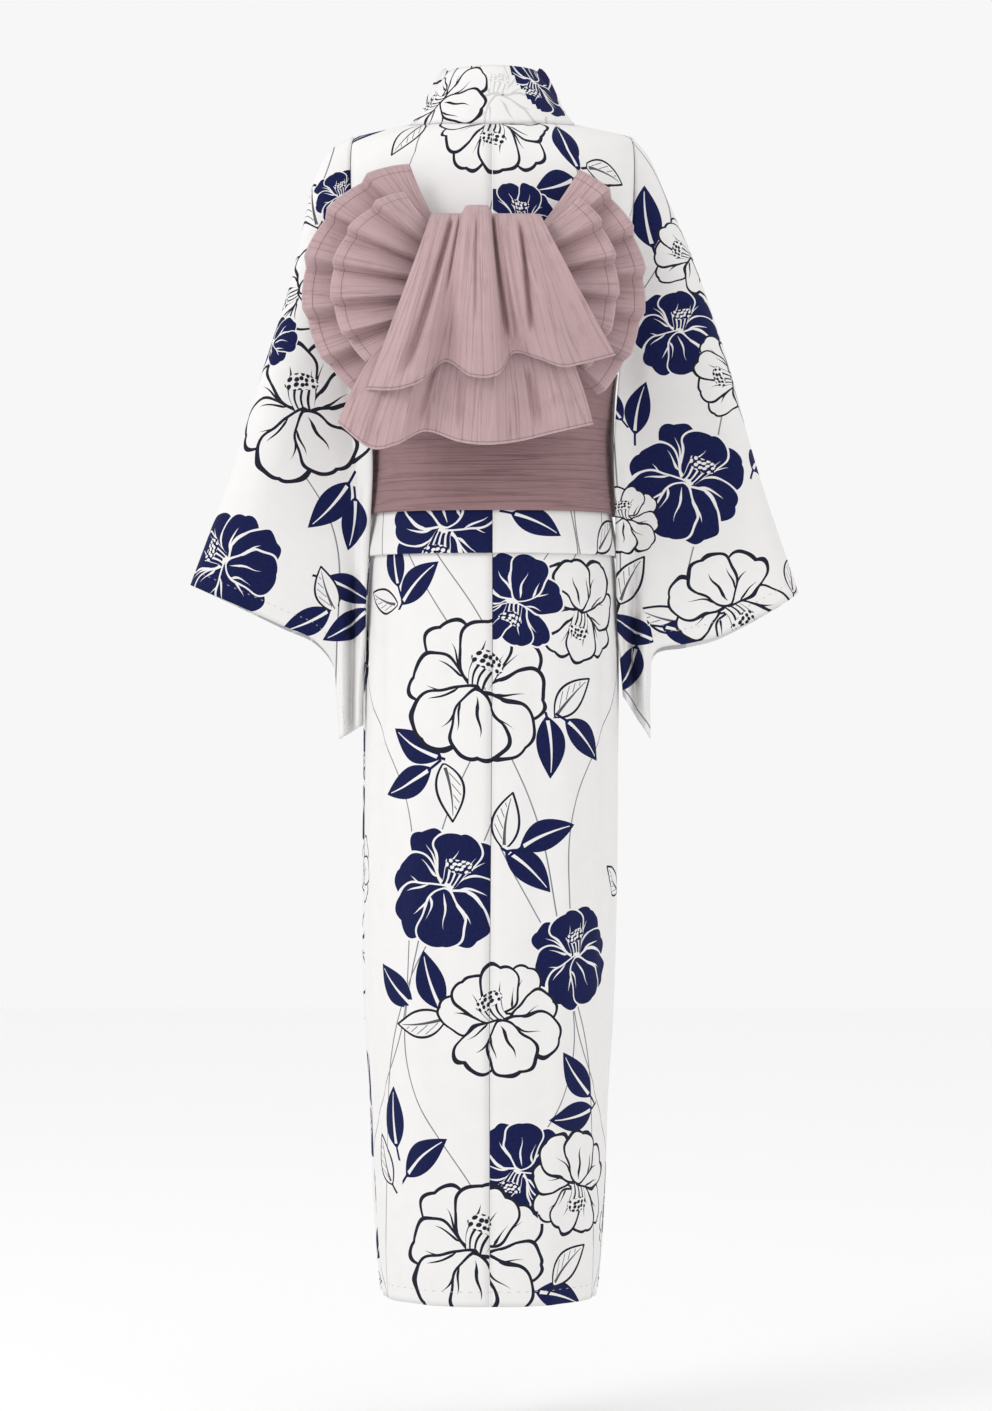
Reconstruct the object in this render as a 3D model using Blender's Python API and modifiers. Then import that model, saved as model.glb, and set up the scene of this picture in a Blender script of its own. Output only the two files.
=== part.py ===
"""A woman's yukata in its worn shape, with its obi tied in a fan-pleated bow.

The back faces +Y, the front faces -Y and the wearer's left is +X. The origin is at shoulder
height in the middle of the neck. Every piece is a thin wall of cloth: a grid laid on a surface
that is worked out from the sizes below, and given its thickness.
"""
from math import asin, cos, degrees, pi, radians, sin, sqrt

import bmesh
import bpy
from mathutils import Vector

# Cloth thickness, in metres
COTTON = 0.0012
FOLDED_COLLAR = 0.0022
OBI_CLOTH = 0.0014

# Spaces between pieces and between layers
EDGE_GAP = 0.0005
SEAM_ANGLE = 0.045
LAYER = 0.0025
FRONT_LIFT = 0.0045
OBI_CLEARANCE = 0.0042

# Heights of the main lines
WAIST_Z = -0.340
OBI_TOP_Z = -0.266
OBI_BOTTOM_Z = -0.421
TUCK_TURN_Z = -0.411
TUCK_FOLD_Z = -0.466
HEM_Z = -1.262

# The folds of the waist tuck, and the heights of the points between them
TUCK_ROUNDING = 0.006
TURN_ROUNDING = 0.002
TUCK_OUTER_LEVELS = (-0.370, -0.400, -0.430)
TUCK_INNER_LEVEL = -0.437
TUCK_UNDER_LEVELS = (-0.440, -0.470)

# Where the panels meet, as degrees round the body from the centre back
SIDE_SEAM = 90.0
OKUMI_SEAM = 172.0
OKUMI_EDGE_LEFT = 256.0
OKUMI_EDGE_RIGHT = 254.0
OKUMI_SEAM_GAP = 0.1
OKUMI_TIP_TURN = 3.0
OKUMI_WIDENING = 0.10
SEAM_DEPTH_Y = -0.020
SQUARENESS = 2.3

# Where the left front starts to stand off the right one, and where that ends on the chest
LIFT_START = 90.0
LIFT_TURN = 10.0
LIFT_END_RISE = 0.95
LIFT_END_LENGTH = 0.22

# Where the belt steps over the left front and over its free edge
OBI_STEP_LEFT = 88.0
OBI_STEP_LEFT_TURN = 10.0
OBI_STEP_RIGHT = 273.0
OBI_STEP_RIGHT_TURN = 12.0

# The neck hole and the collar that stands round it
NECK_HALF_WIDTH = 0.090
NECK_BACK_Y = 0.064
NECK_LOWEST_RISE = 0.72
NECK_SEARCH_STEPS = 40
COLLAR_INSET = 0.0017
INSET_START = 0.7
COLLAR_TOP_Z = 0.058
COLLAR_TOP_HALF_WIDTH = 0.048
COLLAR_TOP_BACK_Y = 0.045
COLLAR_TOP_SHIFT = 0.004
COLLAR_TOP_DROP = 0.002

# The bow
BOW_X = 0.007
BOW_Z = -0.190
BOW_BACK_Y = 0.1132
BOW_LOOP_HALF_HEIGHT = 0.088
BOW_LOOP_DROP = 0.015
BOW_LOOP_SQUARENESS = 5.0
BOW_LOOP_HALF_DEPTH = 0.023
BOW_LOOP_HALF_WIDTH = 0.036

LOOP_FRONT_Y = BOW_BACK_Y + 2 * BOW_LOOP_HALF_DEPTH
LOOP_TOP_Z = BOW_Z - BOW_LOOP_DROP + BOW_LOOP_HALF_HEIGHT

# The fans of the bow
FAN_ROOT_X = 0.012
FAN_ROOT_HALF_HEIGHT = 0.036
FAN_EXIT_X = 0.046
FAN_BULGE_START = 0.40
FAN_ROOT_DEPTH = 0.0075
FAN_BULGE = 0.010
FAN_STEP = 0.012
PLEAT_SEGMENTS = 6
PLEAT_FACE = 5 / 6

# The tails of the bow
TAIL_REST = 0.0018
TAIL_TOP_HALF_WIDTH = 0.030
TAIL_GATHER_HALF_WIDTH = 0.057
TAIL_OVER = 0.25
TAIL_BACK_SETBACK = 0.006
TAIL_FRONT_SETBACK = 0.012
TAIL_FLARE = 1.15
LOWER_TAIL_FLARE = 0.35
BULGE_RISE = 0.7
UPPER_BULGE = 0.039
LOWER_BULGE = 0.018
UPPER_HEM_OUT = 0.006
LOWER_TAIL_TOP_Z = -0.225
TOP_FOLD_START = 0.27
TOP_FOLD_END = 0.57
TOP_FOLD_SIDE = 0.06
TOP_FOLD_HEIGHT = 0.008

# How the sleeves hang
ARMHOLE_RISE = 0.36
ARMHOLE_DROP = 0.37
ARMHOLE_GAP = 0.0016
SLEEVE_SPREAD = 1.3
SLEEVE_HALF_DEPTH = 0.042
CUFF_HALF_DEPTH = 0.036
FOLD_SHARE = 0.18
BOTTOM_NARROWING = 0.86
BOTTOM_HALF_DEPTH = 0.006
CUFF_FRONT_DROP = 0.004
SLEEVE_WAVE = 0.010
SLEEVE_WAVES = 1.5
WAVE_START = 0.45
WAVE_LENGTH = 0.40
ARMHOLE_EASE = 0.2


class Table:
    """Rows of sizes with named columns. Between two rows a size follows a smooth curve."""

    def __init__(self, columns, *rows):
        self.columns = columns.split()
        self.rows = rows
        self.keys = [row[0] for row in rows]

    def size(self, column, key):
        index = self.columns.index(column)
        keys = self.keys
        values = [row[index] for row in self.rows]
        last = len(keys) - 1
        if key <= keys[0]:
            return values[0]
        if key >= keys[last]:
            return values[last]
        step = max(i for i in range(last) if keys[i] <= key)
        span = keys[step + 1] - keys[step]
        part = (key - keys[step]) / span

        def slope(i):
            low = max(i - 1, 0)
            high = min(i + 1, last)
            return (values[high] - values[low]) / (keys[high] - keys[low])

        square = part * part
        cube = square * part
        return (values[step] * (2 * cube - 3 * square + 1)
                + values[step + 1] * (3 * square - 2 * cube)
                + slope(step) * span * (cube - 2 * square + part)
                + slope(step + 1) * span * (cube - square))


def ease(amount):
    """A soft step from 0 to 1."""
    amount = min(max(amount, 0.0), 1.0)
    return amount * amount * (3 - 2 * amount)


def blend(first, second, amount):
    return first + (second - first) * amount


def signed_power(value, power):
    return abs(value) ** power * (1 if value >= 0 else -1)


# The skirt from the waist down, one row for each level
SKIRT = Table(
    "down half_width back_depth front_depth shift_x",
    (0.340, 0.1190, 0.110, 0.070, 0.000),
    (0.420, 0.1240, 0.116, 0.076, 0.000),
    (0.466, 0.1315, 0.124, 0.084, 0.000),
    (0.550, 0.1362, 0.131, 0.091, 0.000),
    (0.700, 0.1366, 0.134, 0.094, 0.001),
    (0.820, 0.1366, 0.133, 0.094, 0.002),
    (0.950, 0.1340, 0.130, 0.092, 0.003),
    (1.050, 0.1277, 0.126, 0.090, 0.003),
    (1.150, 0.1245, 0.122, 0.088, 0.003),
    (1.220, 0.1204, 0.118, 0.085, 0.003),
    (1.262, 0.1166, 0.114, 0.082, 0.003),
)

# The bodice from the waist, rise 0, to the shoulder fold, rise 1
BODICE = Table(
    "rise side_x side_z centre_z back_side_y back_y front_side_y front_y",
    (0.00, 0.124, -0.340, -0.340, -0.020, 0.095, -0.020, -0.095),
    (0.18, 0.127, -0.285, -0.280, -0.004, 0.099, -0.030, -0.099),
    (0.36, 0.137, -0.228, -0.215, 0.020, 0.107, -0.038, -0.103),
    (0.55, 0.145, -0.170, -0.145, 0.033, 0.112, -0.044, -0.101),
    (0.72, 0.149, -0.112, -0.085, 0.038, 0.108, -0.045, -0.090),
    (0.86, 0.151, -0.064, -0.035, 0.036, 0.093, -0.040, -0.068),
    (0.95, 0.151, -0.030, -0.007, 0.022, 0.060, -0.024, -0.040),
    (1.00, 0.149, -0.013, 0.006, 0.000, 0.000, 0.000, 0.000),
)

# The levels where the panels have their rows. The hidden right front has no tuck and comes in
# to the skirt under the belt, so its levels have their distances off the surface with them.
SKIRT_LEVELS = (-0.515, -0.570, -0.640, -0.720, -0.800, -0.880, -0.960, -1.040, -1.110,
                -1.170, -1.220, HEM_Z)
PLAIN_LEVELS = [(-0.365, 0.8 * LAYER), (-0.390, 0.0), (-0.430, 0.0), (-0.470, 0.0)]
BODICE_LEVELS = (0.0, 0.09, 0.18, 0.27, 0.36, 0.45, 0.54, 0.63, 0.72, 0.80, 0.87, 0.925, 0.97)
OKUMI_LEVELS = (0.40, 0.36, 0.27, 0.18, 0.09, 0.0)
BACK_STEPS = 8

# Rows round the back of the neck: degrees from the centre back, and the rise at the armhole
NECK_TURNS = ((78, 0.97), (60, 0.93), (42, 0.88), (24, 0.82), (10, 0.76), (0, 0.70))

# Where the collar has its rows: degrees from the centre back, then rises down the front
COLLAR_TURNS = (0, 10, 24, 42, 60, 78)
COLLAR_RISES = (1.0,) + BODICE_LEVELS[::-1]

# The collar down the front: how far its seam and its free edge are from the centre line,
# and how far the free edge stands off the chest
COLLAR = Table(
    "rise seam_x free_x stand_off",
    (0.00, -0.055, -0.100, 0.000),
    (0.18, -0.036, -0.084, 0.000),
    (0.36, -0.004, -0.056, 0.000),
    (0.55, 0.032, -0.020, 0.000),
    (0.72, 0.062, 0.014, 0.003),
    (0.86, 0.080, 0.037, 0.012),
    (0.95, 0.087, 0.047, 0.035),
    (1.00, 0.090, 0.050, 0.056),
)

# The fold along the top of each sleeve, from the armhole, reach 0, to the wrist, reach 1
SLEEVE_TOP = {
    "left": Table(
        "reach x z",
        (0.00, 0.151, -0.013),
        (0.08, 0.178, -0.030),
        (0.14, 0.193, -0.060),
        (0.22, 0.203, -0.102),
        (0.36, 0.220, -0.176),
        (0.52, 0.245, -0.255),
        (0.77, 0.284, -0.381),
        (1.00, 0.326, -0.497),
    ),
    "right": Table(
        "reach x z",
        (0.00, 0.151, -0.013),
        (0.08, 0.171, -0.038),
        (0.14, 0.187, -0.075),
        (0.26, 0.213, -0.136),
        (0.40, 0.236, -0.200),
        (0.52, 0.252, -0.250),
        (0.77, 0.288, -0.379),
        (1.00, 0.330, -0.505),
    ),
}

# The wrist edge of each sleeve, from the wrist, drop 0, down to the outer bottom corner
SLEEVE_CUFF = {
    "left": Table(
        "drop x z",
        (0.00, 0.326, -0.497),
        (0.22, 0.259, -0.526),
        (0.34, 0.226, -0.541),
        (0.46, 0.194, -0.555),
        (0.58, 0.173, -0.579),
        (0.75, 0.168, -0.612),
        (1.00, 0.165, -0.663),
    ),
    "right": Table(
        "drop x z",
        (0.00, 0.330, -0.505),
        (0.14, 0.308, -0.520),
        (0.32, 0.247, -0.551),
        (0.44, 0.212, -0.560),
        (0.58, 0.176, -0.568),
        (0.75, 0.170, -0.605),
        (1.00, 0.170, -0.662),
    ),
}

# The x and z of each sleeve's inner bottom corner
SLEEVE_INNER_BOTTOM = {"left": (0.1400, -0.648), "right": (0.1420, -0.617)}

# The fans of the bow: the centre and radius of each edge, how far its spread goes above and
# below the level in degrees, its pleats and their depth, and its distance out at root and edge
FANS = Table(
    "fan side x radius low high pleats depth root_y edge_y",
    (0, 1, 0.064, 0.135, -60, 80, 6, 0.010, 0.1228, 0.128),
    (1, 1, 0.065, 0.103, -54, 75, 6, 0.008, 0.1486, 0.1540),
    (2, -1, 0.007, 0.153, -47, 56, 6, 0.010, 0.1228, 0.128),
    (3, -1, 0.000, 0.131, -42, 46, 5, 0.008, 0.1486, 0.1540),
)
FAN_NAMES = ("wing_left_outer", "wing_left_inner", "wing_right_outer", "wing_right_inner")

# The hems of the two tails, from the wearer's left to the right, one row for each fold
TAIL_UPPER_HEM = Table(
    "across x z y",
    (0.00, 0.131, -0.300, 0.168),
    (0.12, 0.100, -0.302, 0.190),
    (0.21, 0.074, -0.294, 0.196),
    (0.31, 0.049, -0.272, 0.180),
    (0.41, 0.022, -0.289, 0.200),
    (0.52, -0.006, -0.287, 0.200),
    (0.60, -0.021, -0.264, 0.182),
    (0.72, -0.047, -0.270, 0.190),
    (0.82, -0.072, -0.279, 0.196),
    (0.91, -0.094, -0.274, 0.178),
    (1.00, -0.128, -0.264, 0.166),
)
TAIL_LOWER_HEM = Table(
    "across x z y",
    (0.00, 0.161, -0.333, 0.150),
    (0.13, 0.127, -0.360, 0.166),
    (0.25, 0.100, -0.357, 0.172),
    (0.37, 0.070, -0.342, 0.156),
    (0.50, 0.034, -0.354, 0.172),
    (0.62, 0.004, -0.357, 0.174),
    (0.75, -0.030, -0.352, 0.158),
    (0.88, -0.066, -0.344, 0.168),
    (1.00, -0.105, -0.334, 0.150),
)


def front_lift(angle):
    """How far the left front stands off, so that it lies over the right front."""
    return FRONT_LIFT * ease((abs(angle) - LIFT_START) / LIFT_TURN)


def chest_fade(rise):
    """Both fronts come together again towards the shoulder."""
    return ease((LIFT_END_RISE - rise) / LIFT_END_LENGTH)


def skirt_point(angle, height, off):
    """A point on the skirt's surface, off metres outside it, at an angle from the centre back."""
    down = -height
    side = sin(radians(angle))
    back = cos(radians(angle))
    power = 2.0 / SQUARENESS
    depth = SKIRT.size("back_depth" if back >= 0 else "front_depth", down)
    x = SKIRT.size("shift_x", down)
    x += (SKIRT.size("half_width", down) + off) * signed_power(side, power)
    y = SEAM_DEPTH_Y + (depth + off) * signed_power(back, power)
    return Vector((x, y, height))


def bodice_point(angle, rise, off):
    """A point on the bodice between the waist and the shoulder fold."""
    side = sin(radians(angle))
    back = cos(radians(angle))
    power = 2.0 / SQUARENESS
    x = (BODICE.size("side_x", rise) + off) * signed_power(side, power)
    if back >= 0:
        edge_y = BODICE.size("back_side_y", rise)
        middle_y = BODICE.size("back_y", rise) + off
    else:
        edge_y = BODICE.size("front_side_y", rise)
        middle_y = BODICE.size("front_y", rise) - off
    y = edge_y + (middle_y - edge_y) * abs(back) ** power
    top = BODICE.size("centre_z", rise)
    z = top + (BODICE.size("side_z", rise) - top) * side * side
    return Vector((x, y, z))


def front_angle(x, rise):
    """The angle from the centre back of the point on the front at x."""
    share = min(abs(x) / BODICE.size("side_x", rise), 1.0)
    turn = degrees(asin(share ** (SQUARENESS / 2.0)))
    return 180.0 - turn if x >= 0 else 180.0 + turn


def neckline(turn):
    """The angle and the rise where the neck hole's edge lies, turn degrees from the centre back."""
    x = NECK_HALF_WIDTH * sin(radians(turn))
    y = NECK_BACK_Y * cos(radians(turn))
    low = NECK_LOWEST_RISE
    high = 1.0
    for _ in range(NECK_SEARCH_STEPS):
        rise = (low + high) / 2.0
        share = min(x / BODICE.size("side_x", rise), 1.0)
        angle = degrees(asin(share ** (SQUARENESS / 2.0)))
        if bodice_point(angle, rise, 0.0).y > y:
            low = rise
        else:
            high = rise
    return max(angle, SEAM_ANGLE), rise


def mirrored(point, side):
    return Vector((point.x * side, point.y, point.z))


def material(name, colour, roughness):
    finish = bpy.data.materials.new(name)
    finish.use_nodes = True
    shader = finish.node_tree.nodes["Principled BSDF"]
    shader.inputs["Base Color"].default_value = (*colour, 1.0)
    shader.inputs["Roughness"].default_value = roughness
    shader.inputs["Metallic"].default_value = 0.0
    return finish


def cloth(name, across, along, place, thickness, finish, closed=False):
    """A wall of cloth: a grid whose corners run from 0 to 1, each point set by place."""
    mesh = bpy.data.meshes.new(name)
    grid = bmesh.new()
    bmesh.ops.create_grid(grid, x_segments=across, y_segments=along, size=0.5)
    for corner in grid.verts:
        corner.co = place(round(corner.co.x + 0.5, 6), round(corner.co.y + 0.5, 6))
    if closed:
        bmesh.ops.remove_doubles(grid, verts=grid.verts, dist=0.00005)
    grid.to_mesh(mesh)
    grid.free()
    piece = bpy.data.objects.new(name, mesh)
    GARMENT.objects.link(piece)
    piece.data.materials.append(finish)
    mesh.shade_smooth()
    wall = piece.modifiers.new("wall", "SOLIDIFY")
    wall.thickness = thickness
    wall.offset = 0.0
    wall.use_rim = True
    return piece


def tuck_levels(base):
    """The waist tuck, from the waist down, as heights and distances off the skirt's surface:
    down outside, round the fold, up inside, over the turn and down again as the skirt."""
    outer = base + 2 * LAYER
    inner = base + LAYER
    fold_start = TUCK_FOLD_Z + TUCK_ROUNDING
    turn_start = TUCK_TURN_Z - TURN_ROUNDING
    levels = [(z, outer) for z in TUCK_OUTER_LEVELS]
    levels += [(fold_start, outer), (TUCK_FOLD_Z, (outer + inner) / 2), (fold_start, inner)]
    levels += [(TUCK_INNER_LEVEL, inner), (turn_start, inner)]
    levels += [(TUCK_TURN_Z, (inner + base) / 2), (turn_start, base)]
    levels += [(z, base) for z in TUCK_UNDER_LEVELS]
    return levels


def skirt_row(height, off, inner, outer, lifted):
    """A row of a body panel below the waist, as a function of the share across."""

    def place(across):
        angle = blend(inner, outer, across)
        return skirt_point(angle, height, off + (front_lift(angle) if lifted else 0.0))

    return place


def bodice_row(inner_angle, inner_rise, outer_angle, outer_rise, lifted):
    """A row of a body panel above the waist, as a function of the share across."""

    def place(across):
        angle = blend(inner_angle, outer_angle, across)
        rise = blend(inner_rise, outer_rise, across)
        lift = 0.0
        if lifted and angle > LIFT_START:
            lift = front_lift(angle) * chest_fade(rise)
        return bodice_point(angle, rise, lift)

    return place


def shoulder_fold(across):
    """The row of a body panel that lies along the shoulder, from the neck to the armhole."""
    x = blend(NECK_HALF_WIDTH + EDGE_GAP, BODICE.size("side_x", 1.0), across)
    z = BODICE.size("side_z", 1.0) * across
    return Vector((x, 0.0, z))


def body_rows(over):
    """The body panel as rows from the front hem, over the shoulder, to the back hem. Each row
    runs from the panel's inner edge to its side edge. The left body lies over the right one."""
    front_inner = OKUMI_SEAM - OKUMI_SEAM_GAP
    front_outer = SIDE_SEAM + SEAM_ANGLE
    back_outer = SIDE_SEAM - SEAM_ANGLE
    skirt = [(z, 0.0) for z in SKIRT_LEVELS]
    front_levels = (tuck_levels(0.0) if over else PLAIN_LEVELS) + skirt
    rows = [skirt_row(z, off, front_inner, front_outer, over) for z, off in front_levels[::-1]]
    for rise in BODICE_LEVELS:
        edge = COLLAR.size("seam_x", rise) + EDGE_GAP
        inner = min(front_angle(edge, rise), front_inner)
        rows.append(bodice_row(inner, rise, front_outer, rise, over))
    rows.append(shoulder_fold)
    for turn, outer_rise in NECK_TURNS:
        angle, rise = neckline(turn)
        rows.append(bodice_row(angle, rise, back_outer, outer_rise, False))
    for step in range(1, BACK_STEPS + 1):
        down = 1 - step / BACK_STEPS
        rows.append(bodice_row(SEAM_ANGLE, rise * down, back_outer, outer_rise * down, False))
    rows += [skirt_row(z, off, SEAM_ANGLE, back_outer, False)
             for z, off in tuck_levels(0.0) + skirt]
    return rows


def make_body(side, finish):
    rows = body_rows(side > 0)
    last = len(rows) - 1

    def place(across, along):
        return mirror_body(rows[round(along * last)](across), side)

    name = "body_left" if side > 0 else "body_right"
    return cloth(name, 8, last, place, COTTON, finish)


def mirror_body(point, side):
    """Mirrors a point of the left body; the skirt's small lean to one side isn't mirrored."""
    if side > 0:
        return point
    lean = SKIRT.size("shift_x", -point.z)
    return Vector((-(point.x - lean) + lean, point.y, point.z))


def make_okumi(side, finish):
    """The overlap panel: a narrow tip at the collar, widening to its full width at the hip."""
    over = side > 0
    base = FRONT_LIFT if over else 0.0
    inner = OKUMI_SEAM + OKUMI_SEAM_GAP
    edge_angle = OKUMI_EDGE_LEFT if over else OKUMI_EDGE_RIGHT
    rows = []
    for rise in OKUMI_LEVELS:
        edge = COLLAR.size("seam_x", rise) + EDGE_GAP
        waist_edge = max(front_angle(edge, rise), inner + OKUMI_TIP_TURN)
        rows.append((None, rise, waist_edge))
    levels = tuck_levels(base) if over else PLAIN_LEVELS
    for z, off in levels + [(z, base) for z in SKIRT_LEVELS]:
        rows.append((z, off, blend(waist_edge, edge_angle, ease((WAIST_Z - z) / OKUMI_WIDENING))))
    last = len(rows) - 1

    def place(across, along):
        z, value, outer = rows[round(along * last)]
        angle = blend(inner, outer, across)
        if z is None:
            return mirror_body(bodice_point(angle, value, base), side)
        return mirror_body(skirt_point(angle, z, value), side)

    name = "okumi_left" if over else "okumi_right"
    return cloth(name, 6, last, place, COTTON, finish)


def collar_station(step, share, over):
    """A point of the left half of the collar. Steps count along it from the centre back."""
    if step < len(COLLAR_TURNS):
        turn = COLLAR_TURNS[step]
        angle, rise = neckline(turn)
        seam = bodice_point(angle, rise, 0.0)
        seam.x -= COLLAR_INSET * sin(radians(turn))
        seam.y -= COLLAR_INSET * cos(radians(turn))
        seam.z += EDGE_GAP
        if turn == 0:
            seam.x = 0.0
        free = Vector((COLLAR_TOP_HALF_WIDTH * sin(radians(turn)),
                       COLLAR_TOP_BACK_Y * cos(radians(turn)) - COLLAR_TOP_SHIFT,
                       COLLAR_TOP_Z - COLLAR_TOP_DROP * turn / 90))
        return seam.lerp(free, share)
    rise = COLLAR_RISES[step - len(COLLAR_TURNS)]
    inset = COLLAR_INSET * ease((rise - INSET_START) / (1 - INSET_START))
    x = blend(COLLAR.size("seam_x", rise) - inset, COLLAR.size("free_x", rise), share)
    lift = chest_fade(rise) * FRONT_LIFT if over else 0.0
    point = bodice_point(front_angle(x, rise), rise, lift)
    point.z += COLLAR.size("stand_off", rise) * ease(share)
    return point


def make_collar(finish):
    """One long band: the right half runs from the belt to the nape, then the left half."""
    half = len(COLLAR_TURNS) + len(COLLAR_RISES) - 1

    def place(share, along):
        step = round((along * 2 - 1) * half)
        point = collar_station(abs(step), share, step > 0)
        return mirrored(point, 1 if step >= 0 else -1)

    return cloth("collar", 4, 2 * half, place, FOLDED_COLLAR, finish)


def sleeve_edge(side, drop):
    """The sleeve's inner edge as x, back y, front y and z: the armhole, then the free edge."""
    rise = blend(1.0, ARMHOLE_RISE, min(drop / ARMHOLE_DROP, 1.0))
    x = BODICE.size("side_x", rise) + ARMHOLE_GAP
    back_y = BODICE.size("back_side_y", rise)
    front_y = BODICE.size("front_side_y", rise)
    z = BODICE.size("side_z", rise)
    if drop > ARMHOLE_DROP:
        share = (drop - ARMHOLE_DROP) / (1 - ARMHOLE_DROP)
        bottom_x, bottom_z = SLEEVE_INNER_BOTTOM[side]
        x = blend(x, bottom_x, ease(share * 2))
        z = blend(z, bottom_z, share)
        back_y = blend(back_y, BOTTOM_HALF_DEPTH, ease(share))
        front_y = blend(front_y, -BOTTOM_HALF_DEPTH, ease(share))
    return x, back_y, front_y, z


def sleeve_point(side, reach, around):
    """A point of a left-hand sleeve: reach runs from the armhole to the wrist, and around from
    the back wall's lower edge, -1, over the top fold, 0, to the front wall's lower edge, 1."""
    drop = abs(around) ** SLEEVE_SPREAD
    behind = around < 0
    top = [SLEEVE_TOP[side].size(axis, reach) for axis in "xz"]
    cuff = [SLEEVE_CUFF[side].size(axis, drop) for axis in "xz"]
    edge_x, back_y, front_y, edge_z = sleeve_edge(side, drop)
    corner_a = [SLEEVE_TOP[side].size(axis, 0.0) for axis in "xz"]
    corner_b = [SLEEVE_TOP[side].size(axis, 1.0) for axis in "xz"]
    corner_c = [SLEEVE_CUFF[side].size(axis, 1.0) for axis in "xz"]
    corner_d = SLEEVE_INNER_BOTTOM[side]
    x, z = [
        blend(top[i], blend(corner_d[i], corner_c[i], reach), drop)
        + blend((edge_x, edge_z)[i], cuff[i], reach)
        - blend(blend(corner_a[i], corner_b[i], reach),
                blend(corner_d[i], corner_c[i], reach), drop)
        for i in range(2)
    ]
    half = blend(SLEEVE_HALF_DEPTH, CUFF_HALF_DEPTH, reach)
    rounded = sqrt(1 - (1 - min(drop / FOLD_SHARE, 1.0)) ** 2)
    y = half * rounded * (1 - BOTTOM_NARROWING * ease(drop)) * (1 if behind else -1)
    y = blend(back_y if behind else front_y, y, ease(reach / ARMHOLE_EASE))
    wave = sin(2 * pi * SLEEVE_WAVES * reach)
    y += SLEEVE_WAVE * wave * ease((drop - WAVE_START) / WAVE_LENGTH)
    if not behind:
        z -= CUFF_FRONT_DROP * reach * sin(pi * drop)
    return Vector((x, y, z))


def make_sleeve(side, finish):
    sign = 1 if side == "left" else -1

    def place(across, along):
        return mirrored(sleeve_point(side, across, 2 * along - 1), sign)

    return cloth("sleeve_" + side, 10, 24, place, COTTON, finish)


def obi_lift(angle):
    """The band rises over the left front and its free edge at the wearer's right."""
    turn = angle % 360.0
    if turn <= 180.0:
        return FRONT_LIFT * ease((turn - OBI_STEP_LEFT) / OBI_STEP_LEFT_TURN)
    return FRONT_LIFT * ease((OBI_STEP_RIGHT - turn) / OBI_STEP_RIGHT_TURN)


def obi_point(across, along):
    """The band follows the skirt below the waist and the bodice above it."""
    angle = 360.0 * across
    z = blend(OBI_BOTTOM_Z, OBI_TOP_Z, along)
    off = OBI_CLEARANCE + obi_lift(angle)
    if z > WAIST_Z:
        _, _, _, first_z, *_ = BODICE.rows[1]
        rise = BODICE.keys[1] * (z - WAIST_Z) / (first_z - WAIST_Z)
        point = bodice_point(angle, rise, off)
    else:
        point = skirt_point(angle, z, 2 * LAYER + off)
    point.z = z
    return point


def make_obi_band(finish):
    return cloth("obi_band", 48, 5, obi_point, OBI_CLOTH, finish, closed=True)


def bow_loop_point(across, along):
    """The wrap round the bow's middle, an upright oval loop that the fans pass through."""
    turn = 2 * pi * across
    power = 2 / BOW_LOOP_SQUARENESS
    y = BOW_BACK_Y + BOW_LOOP_HALF_DEPTH * (1 + signed_power(cos(turn), power))
    z = BOW_Z - BOW_LOOP_DROP + BOW_LOOP_HALF_HEIGHT * signed_power(sin(turn), power)
    return Vector((BOW_X + BOW_LOOP_HALF_WIDTH * (1 - 2 * along), y, z))


def make_bow_loop(finish):
    return cloth("bow_loop", 24, 3, bow_loop_point, OBI_CLOTH, finish, closed=True)


def pleat(phase):
    """A knife pleat from -1 to 1: a long face that rises, then a short return."""
    part = phase % 1.0
    if part < PLEAT_FACE:
        return blend(-1.0, 1.0, part / PLEAT_FACE)
    return blend(1.0, -1.0, (part - PLEAT_FACE) / (1.0 - PLEAT_FACE))


def wing_point(fan, across, along):
    """A pleated fan: along runs from its gathered root to its edge, across down its spread."""

    def of(column):
        return FANS.size(column, fan)

    turn = radians(blend(of("high"), of("low"), across))
    fold = pleat(of("pleats") * across)
    radius = of("radius") * (1 + FAN_STEP * fold)
    level = BOW_Z + FAN_ROOT_HALF_HEIGHT * (1 - 2 * across)
    root = Vector((of("side") * FAN_ROOT_X + BOW_X, of("root_y"), level))
    mouth = Vector((of("side") * FAN_EXIT_X + BOW_X, of("root_y"), level))
    edge = Vector((of("side") * (of("x") + radius * cos(turn)), of("edge_y"),
                   BOW_Z + radius * sin(turn)))
    point = root.lerp(mouth, along).lerp(mouth.lerp(edge, along), along)
    point.y += blend(FAN_ROOT_DEPTH, of("depth"), along * along) * fold
    past_mouth = max(along - FAN_BULGE_START, 0.0) / (1 - FAN_BULGE_START)
    point.y += FAN_BULGE * sin(pi * past_mouth)
    return point


def make_wing(fan, finish):
    segments = PLEAT_SEGMENTS * round(FANS.size("pleats", fan))

    def place(across, along):
        return wing_point(fan, across, along)

    return cloth(FAN_NAMES[fan], segments, 5, place, OBI_CLOTH, finish)


def top_fold(across):
    """The raised fold in the middle of the upper tail, where its top is gathered."""
    return (ease((across - TOP_FOLD_START) / TOP_FOLD_SIDE)
            * ease((TOP_FOLD_END - across) / TOP_FOLD_SIDE) * TOP_FOLD_HEIGHT)


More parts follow.
